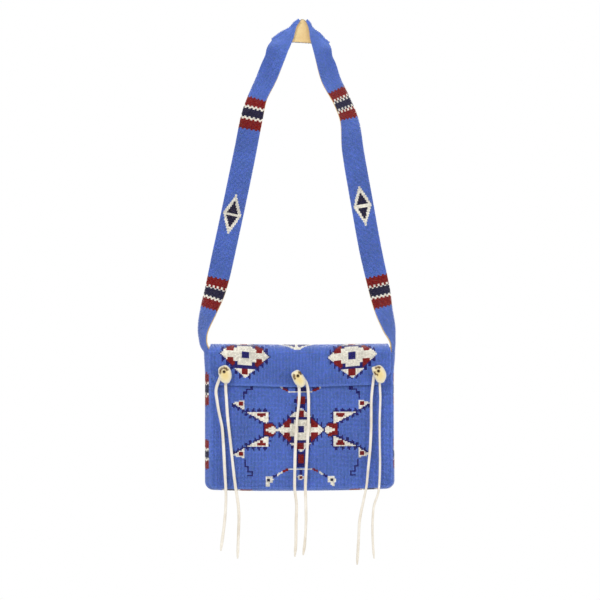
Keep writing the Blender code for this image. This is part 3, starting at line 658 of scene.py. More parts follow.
def fold_profile():
    """The fold's line, from under the flap's edge over the top and down the back: y, z and the normal."""
    half_fold = (PANEL_FACE + FLAP_FACE) / 2
    middle = (PANEL_FACE - FLAP_FACE) / 2
    rows = [(-FLAP_FACE, FLAP_BOTTOM - FOLD_SPARE, -1.0, 0.0)]
    for k in range(FOLD_STEPS + 1):
        angle = math.pi * (1 - k / FOLD_STEPS)
        ny, nz = math.cos(angle) / half_fold, math.sin(angle) / FOLD_RISE
        size = math.hypot(ny, nz)
        rows.append((middle + half_fold * math.cos(angle), MOUTH_Z + FOLD_RISE * math.sin(angle),
                     ny / size, nz / size))
    rows = np.array(rows + [(PANEL_FACE, PANEL_BOTTOM, 1.0, 0.0)])
    return distances(rows[:, :2]) - FOLD_SPARE, rows


FOLD_AT, FOLD_ROWS = fold_profile()
FOLD_LENGTH = FOLD_AT[-1]


def fold_point(u, along, lift=0.0):
    """A point of the back, top and flap: u from -1 to 1 across, along from the flap's lower edge."""
    middle = np.cos(np.pi / 2 * np.clip(u, -1, 1)) ** 2
    slide = SLIDE_EDGE + (SLIDE_TOP - SLIDE_EDGE) * ease(along / SLIDE_FULL)
    slide = slide * ease((FOLD_LENGTH - along) / BACK_LENGTH)
    y, z, ny, nz = (np.interp(along - middle * slide, FOLD_AT, column) for column in FOLD_ROWS.T)
    front = ease((FLAP_FACE - y) / (2 * FLAP_FACE))
    half = (PANEL_WIDTH + (FLAP_WIDTH - PANEL_WIDTH) * front) / 2
    half = half + (TOP_HALF - half) * ease((z - MOUTH_Z) / FOLD_RISE)
    x = POUCH_OFFSET + u * half - FLAP_SHIFT * front
    side = np.where(y > 0, 1.0, -1.0)
    dip = TOP_DIP * middle * ease((z - MOUTH_Z + DIP_FADE) / DIP_FADE)
    return settled(np.stack((x, y + side * belly(x, z) + ny * lift, z + nz * lift - dip), -1))


class Ribbon:
    """A long narrow surface: middles, halves across, normals and how far it bulges, row by row."""

    def __init__(self, middles, halves, bulges, levels):
        self.middles = np.array(middles)
        self.halves = np.array(halves)
        self.bulges = bulges
        self.at = distances(self.middles)
        self.length = self.at[-1]
        normals = unit(np.cross(self.halves, np.gradient(self.middles, self.at, axis=0)))
        outward = np.zeros_like(normals)
        outward[:, 0] = np.where(np.arange(len(normals)) * 2 < len(normals), -1.0, 1.0)
        self.normals = unit(normals + (outward - normals) * np.array(levels)[:, None])

    def point(self, at, v, lift=0.0):
        """A point at a distance along it, and v from -1 to 1 across."""
        tables = (self.middles, self.halves, self.normals)
        middle, half, normal = (read_off(at, self.at, table) for table in tables)
        crown = GUSSET_BULGE * (1 - v * v) * np.interp(at, self.at, self.bulges)
        return middle + half * v[..., None] + normal * (crown + lift)[..., None]


def gusset_ribbon():
    """Down the left side, along the bottom and up the right side; across from the front to the back."""
    radius = CORNER_RADIUS - GUSSET_INSET
    down, turn, bottom = GUSSET_STEPS
    line = [(-GUSSET_HALF, MOUTH_Z + (GUSSET_BOTTOM + radius - MOUTH_Z) * k / down) for k in range(down)]
    for k in range(turn + 1):
        angle = math.pi + math.pi / 2 * k / turn
        line.append((-GUSSET_HALF + radius * (1 + math.cos(angle)),
                     GUSSET_BOTTOM + radius * (1 + math.sin(angle))))
    line += [((radius - GUSSET_HALF) * (1 - k / bottom), GUSSET_BOTTOM) for k in range(1, bottom)]
    line += [(0.0, GUSSET_BOTTOM)] + [(-x, z) for x, z in reversed(line)]
    middles = [(POUCH_OFFSET + x, 0.0, z) for x, z in line]
    count = len(line)
    return Ribbon(middles, [(0.0, GUSSET_SPAN, 0.0)] * count, [1.0] * count, [0.0] * count)


def smooth(table, share):
    """A smooth value at share, through rows of (share, value)."""
    k = max(i for i in range(len(table) - 1) if table[i][0] <= share or i == 0)
    (s0, v0), (s1, v1) = table[k], table[k + 1]
    before = table[max(k - 1, 0)]
    after = table[min(k + 2, len(table) - 1)]
    slope0 = (v1 - before[1]) / (s1 - before[0])
    slope1 = (after[1] - v0) / (after[0] - s0)
    t = (share - s0) / (s1 - s0)
    span = s1 - s0
    return ((2 * t ** 3 - 3 * t ** 2 + 1) * v0 + (t ** 3 - 2 * t ** 2 + t) * span * slope0
            + (3 * t ** 2 - 2 * t ** 3) * v1 + (t ** 3 - t ** 2) * span * slope1)


def fold_middle_and_half(side):
    """The middle of the slanted fold at the top of one leg, and half of it pointing inward."""
    k = 0 if side < 0 else 1
    inner, outer = (Vector((ends[k][0], 0, ends[k][1])) for ends in (FOLD_INNER, FOLD_OUTER))
    return (inner + outer) / 2, (inner - outer) / 2


def leg_rung(side, share):
    """The middle and the half width of the strap on one leg, at a share of the way down."""
    k = 0 if side < 0 else 1
    top, slanted = fold_middle_and_half(side)
    foot = Vector((POUCH_OFFSET + side * GUSSET_HALF, 0, MOUTH_Z + CLEAR))
    bows = [(row[0], row[1 + k]) for row in STRAP_LEGS]
    turns = [(row[0], row[3 + k]) for row in STRAP_LEGS]

    def run(at):
        return top.lerp(foot, at) + Vector((side * smooth(bows, at), 0, 0))

    middle = run(share)
    middle.y = -FOLD_RADIUS * (1 - ease(share / FOLD_BLEND))
    fall = (run(min(share + FALL_STEP, 1.0)) - run(max(share - FALL_STEP, 0.0))).normalized()
    inward = Vector((side * fall.z, 0, -side * fall.x))
    level = ease((share - 1 + FOOT_BLEND) / FOOT_BLEND)
    inward = inward.lerp(Vector((-side, 0, 0)), level).normalized()
    turn = math.radians(smooth(turns, share))
    flat = inward * math.cos(turn) + Vector((0, -1, 0)) * math.sin(turn)
    return middle, slanted.lerp(flat * (STRAP_WIDTH / 2), ease(share / FOLD_BLEND))


def strap_ribbon():
    """The whole strap, up the left leg, over its two folds and down the right; across from outside in."""
    shares = [(1 + math.cos(math.pi * k / LEG_STEPS)) / 2 for k in range(LEG_STEPS + 1)]
    bulge, level = ([float(ease((blend - 2 * k * LEG_RUNGS / LEG_STEPS / LAST_RUNG) / blend))
                     for k in range(LEG_STEPS + 1)] for blend in (BULGE_BLEND, LEVEL_BLEND))
    left = [leg_rung(-1, share) for share in shares]
    right = [leg_rung(1, share) for share in reversed(shares)]
    tops = {side: fold_middle_and_half(side) for side in (-1, 1)}
    folds = {-1: [], 1: []}
    for side, (middle, half) in tops.items():
        away = Vector((side * abs(half.z), 0, abs(half.x))).normalized()
        for k in range(1, STRAP_FOLD_STEPS):
            angle = math.pi * k / STRAP_FOLD_STEPS
            turned = away * math.sin(angle) + Vector((0, -math.cos(angle), 0))
            folds[side].append((middle + turned * FOLD_RADIUS, half))
    back = []
    for k in range(STRAP_BACK_STEPS + 1):
        share = k / STRAP_BACK_STEPS
        raised = Vector((0, 0, TOP_ARCH / 2 * math.sin(math.pi * share)))
        middle, half = (first.lerp(last, share) for first, last in zip(tops[-1], tops[1]))
        back.append((middle + Vector((0, FOLD_RADIUS, 0)) + raised, half + raised))
    rungs = left + folds[-1] + back + folds[1][::-1] + right
    flat = [0.0] * (len(rungs) - 2 * len(left))
    middles, halves = ([tuple(rung[k]) for rung in rungs] for k in (0, 1))
    return Ribbon(middles, halves, bulge + flat + bulge[::-1], level + flat + level[::-1])


GUSSET = gusset_ribbon()
STRAP = strap_ribbon()


def sides_out(points, v, weight=1.0):
    """A ribbon's points, with the pouch's sides standing out between their edges by more or less."""
    x, z = points[..., 0], points[..., 2]
    near_top = ease(1 - np.abs(z - MOUTH_Z) / SIDE_FADE)
    left = (LEFT_OUT + LEFT_TOP_OUT * near_top) * ease((POUCH_OFFSET - x) / PANEL_WIDTH * 4 - 1)
    drawn_in = RIGHT_IN * (1 - near_top) * ease((z - RIGHT_IN_FROM) / SIDE_FADE * 2)
    right = (RIGHT_TOP_OUT * near_top - drawn_in) * ease((x - POUCH_OFFSET) / PANEL_WIDTH * 4 - 1)
    points[..., 0] += (right - left) * (1 - v * v) * weight
    return points


def top_shaped(points):
    """The strap's points, with its edges bowed in or out at and under the folded top."""
    x, y, z = (points[..., k] for k in range(3))
    out = np.zeros_like(x)
    for reach, height, span, none_at, full_at, front_only in TOP_BOWS:
        share = np.cos(math.pi / 2 * np.clip((z - height) / span, -1, 1)) ** 2
        share = share * ease((np.abs(x) - none_at) / (full_at - none_at))
        out += reach * share * (ease(-y / FOLD_RADIUS) if front_only else 1.0)
    points[..., 0] += np.sign(x) * out
    return points


def gusset_point(at, v, lift=0.0):
    return settled(sides_out(GUSSET.point(at, v, lift), v))


def strap_point(at, v, lift=0.0):
    points = top_shaped(STRAP.point(at, v, lift))
    return sides_out(points, v, ease((MOUTH_Z + FOOT_REACH - points[..., 2]) / FOOT_REACH))


# The design, in millimetres from the middle of a star


def box(x0, x1, z0, z1):
    return [(x0, z0), (x1, z0), (x1, z1), (x0, z1)]


def boxes(colour, *sizes):
    return [(colour, box(*size)) for size in sizes]


def copies(shapes, across=True, up=True):
    """Shapes with their mirror images across and up."""
    made = []
    for sx in (1, -1) if across else (1,):
        for sz in (1, -1) if up else (1,):
            made += [(colour, [(sx * x, sz * z) for x, z in outline]) for colour, outline in shapes]
    return made


def moved(shapes, x=0.0, z=0.0, scale=1.0):
    return [(colour, [(x + scale * a, z + scale * b) for a, b in outline]) for colour, outline in shapes]


def toothed(colour, start, end, count, base, reach):
    """Small spikes along the line from start to end, each as far out as reach says, across and up."""
    length = math.dist(start, end)
    ax, az = (end[0] - start[0]) / length, (end[1] - start[1]) / length
    made = []
    for k in range(count):
        at = length * (k + 0.5) / count
        mx, mz = start[0] + ax * at, start[1] + az * at
        foot = [(mx + way * ax * base / 2, mz + way * az * base / 2) for way in (-1, 1)]
        tip = [(mx + way * SPIKE_TIP + reach[0], mz + reach[1]) for way in (1, -1)]
        made.append((colour, foot + tip))
    return made


def star(eye):
    """The stepped white star in its toothed navy diamond, with the left and right end of its eye."""
    tip_x, tip_z = 27.0, 25.4
    edge = [(x, tip_z * (1 - x / tip_x)) for x in (2.4, 25.6)]
    quarter = [(NAVY, [(0, 0), (tip_x, 0), (0, tip_z)]), *toothed(NAVY, *edge, 5, 4.6, (0, 4.6))]
    quarter += [
        (RED, [(10.8, 3.4), (19.3, 3.4), (19.3, 6.4), (12.0, 13.2), (10.8, 13.2)]),
        (WHITE, box(0, 19.3, 0, 3.4)),
        (WHITE, [(19.0, 0), (26.6, 0), (19.0, 6.0)]),
        (WHITE, box(0, 11.6, 0, 7.2)),
        (WHITE, box(0, 7.7, 0, 11.0)),
        (NAVY, box(0, 11.5, 11.0, 14.2)),
        (WHITE, [(0, 14.2), (12.4, 14.2), (0, 25.0)]),
        (RED, box(0, 3.6, 14.2, 21.6)),
    ]
    return copies(quarter) + [(NAVY, box(*eye, -3.5, 3.6))]


def big_triangle(flat):
    """A white triangle with a red T in it and a toothed navy edge; flat is the height of its level side."""
    return [
        (NAVY, [(36.2, 4.2), (36.2, flat), (62.8, flat)]),
        *toothed(NAVY, (36.4, flat), (62.0, flat), 4, 5.4, (0, 3.6)),
        *toothed(NAVY, (36.2, 5.6), (36.2, flat + 0.6), 3, 4.6, (-3.2, 0)),
        *toothed(NAVY, (37.6, 5.4), (63.6, flat - 0.2), 5, 4.2, (0, -3.4)),
        (WHITE, [(36.2, 6.0), (36.2, flat), (61.4, flat)]),
        (RED, box(39.0, 47.8, flat - 4.4, flat - 1.6)),
        (RED, box(41.2, 45.8, flat - 6.8, flat - 4.4)),
    ]


def small_triangle(shift):
    """The white triangle beyond a big one, with a red box in it, moved up by shift."""
    return [
        (NAVY, [(61.0, 18.8 + shift), (61.7, 21.0 + shift), (76.2, 29.6 + shift), (76.8, 27.4 + shift)]),
        *toothed(NAVY, (62.0, 19.4 + shift), (77.0, 28.0 + shift), 3, 3.8, (0, -2.8)),
        (WHITE, [(61.6, 20.5 + shift), (61.6, 32.8 + shift), (76.0, 29.2 + shift)]),
        (RED, box(63.6, 68.4, 25.6 + shift, 30.4 + shift)),
    ]


def corner_hooks():
    """The stepped hooks towards the corners."""
    return copies(boxes(
        NAVY, (61.8, 63.4, 34.2, 42.2), (58.8, 63.4, 40.7, 42.2), (58.8, 60.4, 40.7, 46.0),
        (54.4, 60.4, 44.5, 46.0), (52.2, 55.6, 44.5, 48.4), (61.4, 63.0, -42.2, -32.6),
        (58.2, 63.0, -42.2, -40.7), (58.2, 59.8, -47.0, -40.7), (53.4, 59.8, -47.0, -45.5),
        (53.4, 55.0, -51.4, -45.5), (53.4, 58.6, -51.4, -49.9)), up=False)


def fish():
    """The lozenges either side of the star."""
    return copies([
        (NAVY, [(24.6, 0), (30.8, 8.0), (42.4, 7.6), (41.2, 0)]),
        (RED, [(26.4, 0), (28.3, 3.6), (31.1, 6.6), (40.8, 6.4), (40.4, 0)]),
        (WHITE, [(26.0, 0), (30.1, 4.6), (39.8, 0)]),
    ])


def stem():
    """What stands over and under the star."""
    post = boxes(NAVY, (0, 3.6, 24.0, 29.0), (0, 7.8, 29.8, 33.8)) + boxes(RED, (0, 4.8, 28.8, 37.4))
    over = [
        (NAVY, box(0, 6.1, 43.3, 47.7)),
        (WHITE, box(0, 13.2, 41.2, 42.9)),
        (RED, [(12.6, 42.2), (14.2, 44.6), (18.2, 46.6), (20.5, 46.5), (20.5, 45.0), (16.4, 43.2)]),
        (NAVY, [(13.4, 44.6), (13.0, 46.2), (19.0, 48.6), (20.0, 47.0)]),
        (WHITE, [(20.2, 45.2), (20.2, 47.8), (22.8, 49.4), (22.8, 47.2)]),
    ]
    under = [
        (NAVY, box(0, 4.6, -41.2, -24.0)),
        (RED, box(0, 3.3, -37.2, -27.6)),
        (WHITE, box(0, 13.3, -44.4, -42.7)),
        (RED, [(13.4, -42.6), (13.4, -44.9), (19.4, -47.6), (19.8, -45.2)]),
        (WHITE, [(20.4, -45.8), (20.4, -48.4), (25.4, -51.2), (25.4, -48.6)]),
        (NAVY, [(26.2, -48.8), (26.2, -51.6), (30.4, -53.8), (30.4, -51.0)]),
        (NAVY, box(0, 1.7, -49.6, -45.0)),
    ]
    return moved(copies(post, up=False), 1.2) + copies(over + under, up=False)


def rosettes():
    """Small eyes at the foot of the design."""
    middle = [
        (WHITE, [(4.0, -52.7), (2.2, -50.0), (-2.2, -50.0), (-4.0, -52.7), (-2.2, -55.4), (2.2, -55.4)]),
        (RED, box(-1.7, 1.7, -54.1, -51.3)),
    ]
    side = [
        (WHITE, [(38.4, -52.2), (31.2, -52.2), (30.0, -54.8), (30.9, -58.2), (34.0, -59.8), (34.4, -62.6),
                 (38.2, -62.6), (39.0, -57.0)]),
        (MIDNIGHT, box(33.3, 36.6, -57.2, -54.0)),
    ]
    return middle + copies(side, up=False)


def panel_design():
    """The whole design of a panel: triangles in the four corners, hooks, and the star in the middle."""
    shapes = copies(big_triangle(20.4) + small_triangle(1.0), up=False)
    lower = copies(big_triangle(18.9) + small_triangle(-1.0), up=False)
    shapes += [(colour, [(x, -z) for x, z in outline]) for colour, outline in lower]
    return shapes + corner_hooks() + stem() + rosettes() + fish() + star(PANEL_EYE)


def top_lozenge():
    """The lozenge that lies over the top, from its front tip along the fold."""
    middle, length = 15.2, 30.4
    side = [(5.8, 2.2), (17.4, 12.0), (21.5, middle), (17.4, 19.2), (5.8, 28.2)]
    outline = [(0.0, 0.0)] + side + [(0.0, length)] + [(-x, z) for x, z in reversed(side)]
    inside_it = moved([(NAVY, [(x, z - middle) for x, z in outline])], 0.0, middle, 0.74)
    return moved([(WHITE, outline)] + inside_it + boxes(WHITE, (-1.8, 1.8, 0.0, length)), *LOZENGE_TIP)


def inside(outline, x, z):
    hit = np.zeros(x.shape, bool)
    for (x0, z0), (x1, z1) in zip(outline, outline[1:] + outline[:1]):
        if z0 != z1:
            hit ^= ((z0 > z) != (z1 > z)) & (x < (x1 - x0) * (z - z0) / (z1 - z0) + x0)
    return hit


def painted(shapes, x, z):
    """The colour of each bead, from where it lies in metres; later shapes lie over earlier ones."""
    colours = np.full(x.shape, BLUE)
    for colour, outline in shapes:
        colours[inside(outline, x / MM, z / MM)] = colour
    return colours


def zigzag(v, pitch):
    """A saw between -1 and 1."""
    return 2 * np.abs(2 * (v / pitch - np.floor(v / pitch + 0.5))) - 1


def paint_bar(colours, s, v):
    """A banded bar across a ribbon; s along from its middle, in metres, and v across, in beads."""
    s = s / MM
    shift = ZIGZAG_REACH * zigzag(v, ZIGZAG_BEADS)
    colours[np.abs(s) < BAR_RED_END + shift] = RED
    colours[np.abs(s - shift) < BAR_DARK_END] = MIDNIGHT
    for line in (-BAR_LINE, BAR_LINE):
        colours[np.abs(s - line - shift) < BAR_LINE_HALF] = WHITE


def paint_diamond(colours, s, v):
    """A white diamond with a dark one in it, cut in two; s along and v across, in metres."""
    reach = np.abs(v) / (DIAMOND_WIDE * MM) + np.abs(s) / (DIAMOND_LONG * MM)
    colours[reach <= 1.0] = WHITE
    colours[(reach <= DIAMOND_INSIDE) & (np.abs(s) > DIAMOND_GAP * MM)] = MIDNIGHT


def paint_ribbon(bars, diamonds, a, b, bead):
    """Bars, each at a place along, of a scale, and whole or from near its middle one way, and diamonds."""
    colours = np.full(a.shape, BLUE)
    for at, scale, way in bars:
        bar = colours.copy()
        paint_bar(bar, (a - at) / scale, b / bead)
        shown = (a - at) * way > BAR_PART_FROM if way else True
        colours = np.where(shown, bar, colours)
    for at in diamonds:
        paint_diamond(colours, a - at, b)
    return colours


def row_at(ribbon, side, z):
    """How far along a ribbon its middle reaches a height on one side."""
    away = np.abs(ribbon.middles[:, 2] - z)
    away[(ribbon.middles[:, 0] - POUCH_OFFSET) * side <= 0] = FAR
    return ribbon.at[np.argmin(away)]


def row_under(ribbon, x):
    """How far along a ribbon its middle reaches a place across its bottom."""
    above = ribbon.middles[:, 2] - ribbon.middles[:, 2].min()
    return ribbon.at[np.argmin(np.abs(ribbon.middles[:, 0] - x) + FAR * above)]


def photo_z(row):
    """The height that a row of the photograph shows, at the strap's depth."""
    return AIM.z - (row - PHOTO_MIDDLE) * PIXEL * MM


# Beads: across, along and up from the middle, as shares of a bead; the faces are the sides and the top

RING = [(0.52, 0.28), (0.36, 0.51), (-0.36, 0.51), (-0.52, 0.28),
        (-0.52, -0.28), (-0.36, -0.51), (0.36, -0.51), (0.52, -0.28)]
CROWN = [(0.28, 0.27), (-0.28, 0.27), (-0.28, -0.27), (0.28, -0.27)]
BEAD = np.array([(p, t, -0.20) for p, t in RING] + [(p, t, 0.50) for p, t in CROWN])
BEAD_FACES = [
    (0, 1, 8), (1, 2, 9, 8), (2, 3, 9), (3, 4, 10, 9), (4, 5, 10),
    (5, 6, 11, 10), (6, 7, 11), (7, 0, 8, 11), (8, 9, 10, 11),
]


def sew_beads(name, node, surface, a, b, size, colours, finishes, seed, chart):
    """One mesh of beads with their middles on a surface: a and b along its sides, chart their bake map."""
    rng = np.random.default_rng(seed)
    count = len(a)
    size = [np.broadcast_to(part, count) for part in size]
    a = a + rng.normal(0.0, UNEVEN_ACROSS, count) * size[0]
    b = b + rng.normal(0.0, UNEVEN_ALONG, count) * size[1]
    middle = surface(a, b)
    run_a = (surface(a + SLOPE_STEP, b) - surface(a - SLOPE_STEP, b)) / (2 * SLOPE_STEP)
    run_b = (surface(a, b + SLOPE_STEP) - surface(a, b - SLOPE_STEP)) / (2 * SLOPE_STEP)
    stretch = [np.clip(np.linalg.norm(run, axis=1), *STRETCH_LIMITS) for run in (run_a, run_b)]
    normal = unit(np.cross(run_a, run_b))
    turn = rng.normal(0.0, UNEVEN_TURN, count)[:, None]
    across = unit(unit(run_a) + turn * unit(run_b))
    thread = np.cross(normal, across)
    wide = size[0] * stretch[0] * rng.normal(1.0, UNEVEN_SIZE, count)
    long = size[1] * stretch[1] * rng.normal(1.0, UNEVEN_SIZE, count)
    tall = BEADS * rng.normal(1.0, UNEVEN_HEIGHT, count)
    points = middle[:, None, :]
    for k, (reach, way) in enumerate(((wide, across), (long, thread), (tall, normal))):
        points = points + (reach[:, None] * BEAD[:, k])[..., None] * way[:, None, :]
    corners = np.concatenate([np.array(face) for face in BEAD_FACES])
    sizes = np.array([len(face) for face in BEAD_FACES])
    loops = (corners[None, :] + len(BEAD) * np.arange(count)[:, None]).ravel()
    starts = np.concatenate(([0], np.cumsum(np.tile(sizes, count))[:-1]))
    mesh = bpy.data.meshes.new(name)
    mesh.vertices.add(count * len(BEAD))
    mesh.vertices.foreach_set("co", points.astype(np.float32).ravel())
    mesh.loops.add(len(loops))
    mesh.loops.foreach_set("vertex_index", loops.astype(np.int32))
    mesh.polygons.add(len(starts))
    mesh.polygons.foreach_set("loop_start", starts.astype(np.int32))
    mesh.polygons.foreach_set("material_index", np.repeat(colours, len(sizes)).astype(np.int32))
    mesh.polygons.foreach_set("use_smooth", np.ones(len(starts), bool))
    mesh.update(calc_edges=True)
    flat_a = a[:, None] + size[0][:, None] * BEAD[None, :, 0]
    flat_b = b[:, None] + size[1][:, None] * BEAD[None, :, 1]
    spots = np.stack([part.ravel()[loops] for part in chart(flat_a, flat_b, a)], -1)
    mesh.uv_layers.new(name="OFBake").data.foreach_set("uv", spots.astype(np.float32).ravel())
    mesh.validate()
    item = new_object(name, mesh, *finishes)
    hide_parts(node)
    return item


def folded_chart(columns, length, width):
    """The bake map of a long strip, cut into columns side by side."""
    stretch = length / columns
    side = max(stretch * MAP_LONGER, columns * width * MAP_WIDER)

    def chart(a, b, bead_a):
        column = np.clip(np.floor(bead_a / stretch), 0, columns - 1)[:, None]
        across = (b + width / 2) + column * width * MAP_WIDER
        return across / side, (a - column * stretch + 2 * MAP_MARGIN) / side
    return chart


def lanes(length, count, beads):
    """Where the beads of a column lie along it."""
    return (np.arange(count * beads) + 0.5) * length / (count * beads)


def corner_half(half, above_bottom, radius=CORNER_RADIUS):
    """How far a panel reaches either way, so high above its bottom."""
    fall = np.clip(radius - above_bottom, 0, radius)
    return half - radius + np.sqrt(radius ** 2 - fall ** 2)


def flap_cut(along):
    """How much of the flap's half width its cut corners take."""
    return np.maximum(FLAP_CORNER + FLAP_LIFT - along, 0) * FLAP_CUT


def sew_panel(name, node, width, start, length, lane_count, ways, point, reach, paint, low, finishes, seed):
    """Lanes of beads over a panel, in columns across it, from the start on and as far out as reach says.

    point is the surface, ways say how both directions are turned to sew on it, and low is where the bake
    map begins.
    """
    half, lane = width / 2, length / lane_count
    across, along = np.meshgrid((np.arange(COLUMNS) + 0.5) / COLUMNS * 2 - 1,
                                start + lanes(length, lane_count, LANE_BEADS))
    a, b = across.ravel() * half, along.ravel()
    kept = np.abs(a) < reach(b)
    a, b = a[kept], b[kept]

    def surface(a, b):
        return point(ways[0] * a, ways[1] * b, BEAD_MIDDLE + lane_rise(ways[1] * b - start, lane))

    def chart(a, b, bead_a):
        return (a + half + MAP_MARGIN) / (width + 2 * MAP_MARGIN), (b - low) / (width + 2 * MAP_MARGIN)

    size = (width / COLUMNS, length / (lane_count * LANE_BEADS))
    sew_beads(name, node, surface, ways[0] * a, ways[1] * b, size, paint(a, b), finishes, seed, chart)


def front_beads(finishes):
    """The front, with its design drawn out on the right."""
    top = PANEL_TOP - MOUTH_SPARE
    length = top - PANEL_BOTTOM - BOTTOM_SPARE

    def paint(a, b):
        x = a - FRONT_STAR[0]
        x = x - RIGHT_DRAWN * np.clip((x - DRAWN_FROM) / DRAWN_SPAN, 0, 1)
        return painted(panel_design(), x, top - b - FRONT_STAR[1])

    sew_panel("front_beads", "front_beadwork", PANEL_WIDTH, 0.0, length, PANEL_LANES, ways=(1, -1),
              point=lambda a, b, lift: front_point(POUCH_OFFSET + a, top - b, lift),
              reach=lambda b: corner_half(PANEL_WIDTH / 2, top - b - PANEL_BOTTOM) - SIDE_SPARE,
              paint=paint, low=-length - MAP_MARGIN, finishes=finishes, seed=1)


def back_beads(finishes):
    """The back, sewn from its bottom up."""
    half = PANEL_WIDTH / 2

    def paint(a, b):
        return painted(panel_design(), a - BACK_STAR[0], PANEL_BOTTOM + BOTTOM_SPARE + b - BACK_STAR[1])

    sew_panel("back_beads", "back_flap_beadwork", PANEL_WIDTH, 0.0, BACK_LENGTH - BOTTOM_SPARE, PANEL_LANES,
              ways=(-1, 1),
              point=lambda a, b, lift: fold_point(a / half, FOLD_LENGTH - BOTTOM_SPARE - b, lift),
              reach=lambda b: corner_half(half, b) - SIDE_SPARE, paint=paint, low=-MAP_MARGIN,
              finishes=finishes, seed=2)


def flap_beads(finishes):
    """The flap and the top, sewn from the flap's lower edge up."""
    start = FLAP_LIFT + EDGE_ROLL / 2
    half = FLAP_WIDTH / 2
    shapes = top_lozenge()
    for (x, up), eye in zip(FLAP_STARS, FLAP_EYES):
        shapes += moved(star(eye), x / MM, up / MM, FLAP_STAR_SCALE)
    sew_panel("flap_beads", "back_flap_beadwork", FLAP_WIDTH, start, FOLD_LENGTH - BACK_LENGTH - start,
              FLAP_LANES, ways=(1, 1), point=lambda a, b, lift: fold_point(a / half, b, lift),
              reach=lambda b: half - flap_cut(b) - EDGE_ROLL / 2,
              paint=lambda a, b: painted(shapes, fold_point(a / half, b)[:, 0] - POUCH_OFFSET, b),
              low=0.0, finishes=finishes, seed=3)


def even_rows(surface, length, pitch, overs, middle):
    """Where the beads of a strip lie in rows spread evenly along its middle, and how much each row takes."""
    fine = np.linspace(0.0, length, WALK_STEPS)
    walked = distances(surface(fine, np.full(len(fine), middle)))
    ends = np.interp(np.linspace(0.0, walked[-1], round(walked[-1] / pitch) + 1), walked, fine)
    a, b = (grid.ravel() for grid in np.meshgrid((ends[1:] + ends[:-1]) / 2, overs, indexing="ij"))
    return a, b, np.repeat(np.diff(ends), len(overs))


def ribbon_beads(name, node, ribbon, point, width, bars, diamonds, finishes, seed, folds):
    """Beads in two lanes along a ribbon, in rows across it."""
    lane = width / RIBBON_LANES
    bead = lane / RIBBON_LANE_BEADS
    half = width / 2

    def surface(at, over):
        return point(at, -over / half, BEAD_MIDDLE + lane_rise(over, lane))

    overs = lanes(width, RIBBON_LANES, RIBBON_LANE_BEADS) - half
    a, b, takes = even_rows(surface, ribbon.length, RIBBON_PITCH, overs, 0.0)
    sew_beads(name, node, surface, a, b, (takes, bead), paint_ribbon(bars, diamonds, a, b, bead), finishes,
              seed, folded_chart(folds, ribbon.length, width))


def sew_roll(name, node, surface, length, radius, roll, finishes, seed, way=1):
    """A roll of blue beads along an edge; way is -1 where its surface runs backwards."""
    angles, bead, width, folds = roll
    turns = np.radians(angles) * radius
    a, b, takes = even_rows(lambda a, b: surface(way * a, b), length, PITCH, turns, turns[len(turns) // 2])
    chart = folded_chart(folds, length, radius * math.radians(width))
    sew_beads(name, node, surface, way * a, b, (takes, radius * math.radians(bead)), np.full(a.shape, BLUE),
              finishes, seed, lambda a, b, bead_a: chart(way * a, b, way * bead_a))


def round_roll(angle, face, out):
    """The ways out of a roll at angles from its face."""
    return face * np.cos(angle)[:, None] + out * np.sin(angle)[:, None]


def edge_rolls(finishes):
    """The rolled bead edging over the seams between the panels and the gusset."""
    middles = GUSSET.middles
    at = distances(middles)
    runs = unit(np.gradient(middles, at, axis=0))
    outs = np.stack((runs[:, 2], np.zeros(len(runs)), -runs[:, 0]), -1)
    for name, side, node in (("front_edge_beads", -1, "front_beadwork"),
                             ("back_edge_beads", 1, "back_flap_beadwork")):
        def surface(a, b, side=side):
            middle, out = (read_off(side * a, at, table) for table in (middles, outs))
            face = np.array((0.0, float(side), 0.0))
            base = middle + face * (PANEL_FACE - HIDE) + out * (GUSSET_INSET - HIDE)
            base[:, 1] += side * belly(base[:, 0], base[:, 2])
            return settled(base + round_roll(b / ROLL_OUTER, face, out) * (HIDE + BEAD_MIDDLE))

        sew_roll(name, node, surface, at[-1], ROLL_OUTER, PANEL_ROLL, finishes, seed=7 + side, way=side)


def flap_edging(finishes):
    """The rolled bead edging round the flap's sides, cut corners and lower edge."""
    half = FLAP_WIDTH / 2 - EDGE_ROLL
    low = FLAP_LIFT + EDGE_ROLL
    corner = FLAP_CORNER + FLAP_LIFT
    cut = half - FLAP_CORNER * FLAP_CUT
    top = MOUTH_Z - FLAP_BOTTOM
    line = np.array([(-half, top), (-half, corner), (-cut, low), (cut, low), (half, corner), (half, top)])
    at = distances(line)
    flat = read_off(np.linspace(0.0, at[-1], EDGE_STEPS), at, line)
    for _ in range(EDGE_SMOOTHINGS):
        flat[1:-1] = (flat[:-2] + 2 * flat[1:-1] + flat[2:]) / 4
    spots = fold_point(flat[:, 0] / (FLAP_WIDTH / 2), flat[:, 1], -HIDE / 2)
    face = np.array((0.0, -1.0, 0.0))
    outs = unit(np.cross(face, unit(np.gradient(spots, axis=0))))
    at = distances(spots)

    def surface(a, b):
        middle, out = (read_off(a, at, table) for table in (spots, outs))
        return middle + round_roll(b / EDGE_ROLL, face, out) * (HIDE / 2 + BEAD_MIDDLE)

    sew_roll("flap_edge_beads", "back_flap_beadwork", surface, at[-1], EDGE_ROLL, FLAP_ROLL, finishes, seed=9)


# Hides


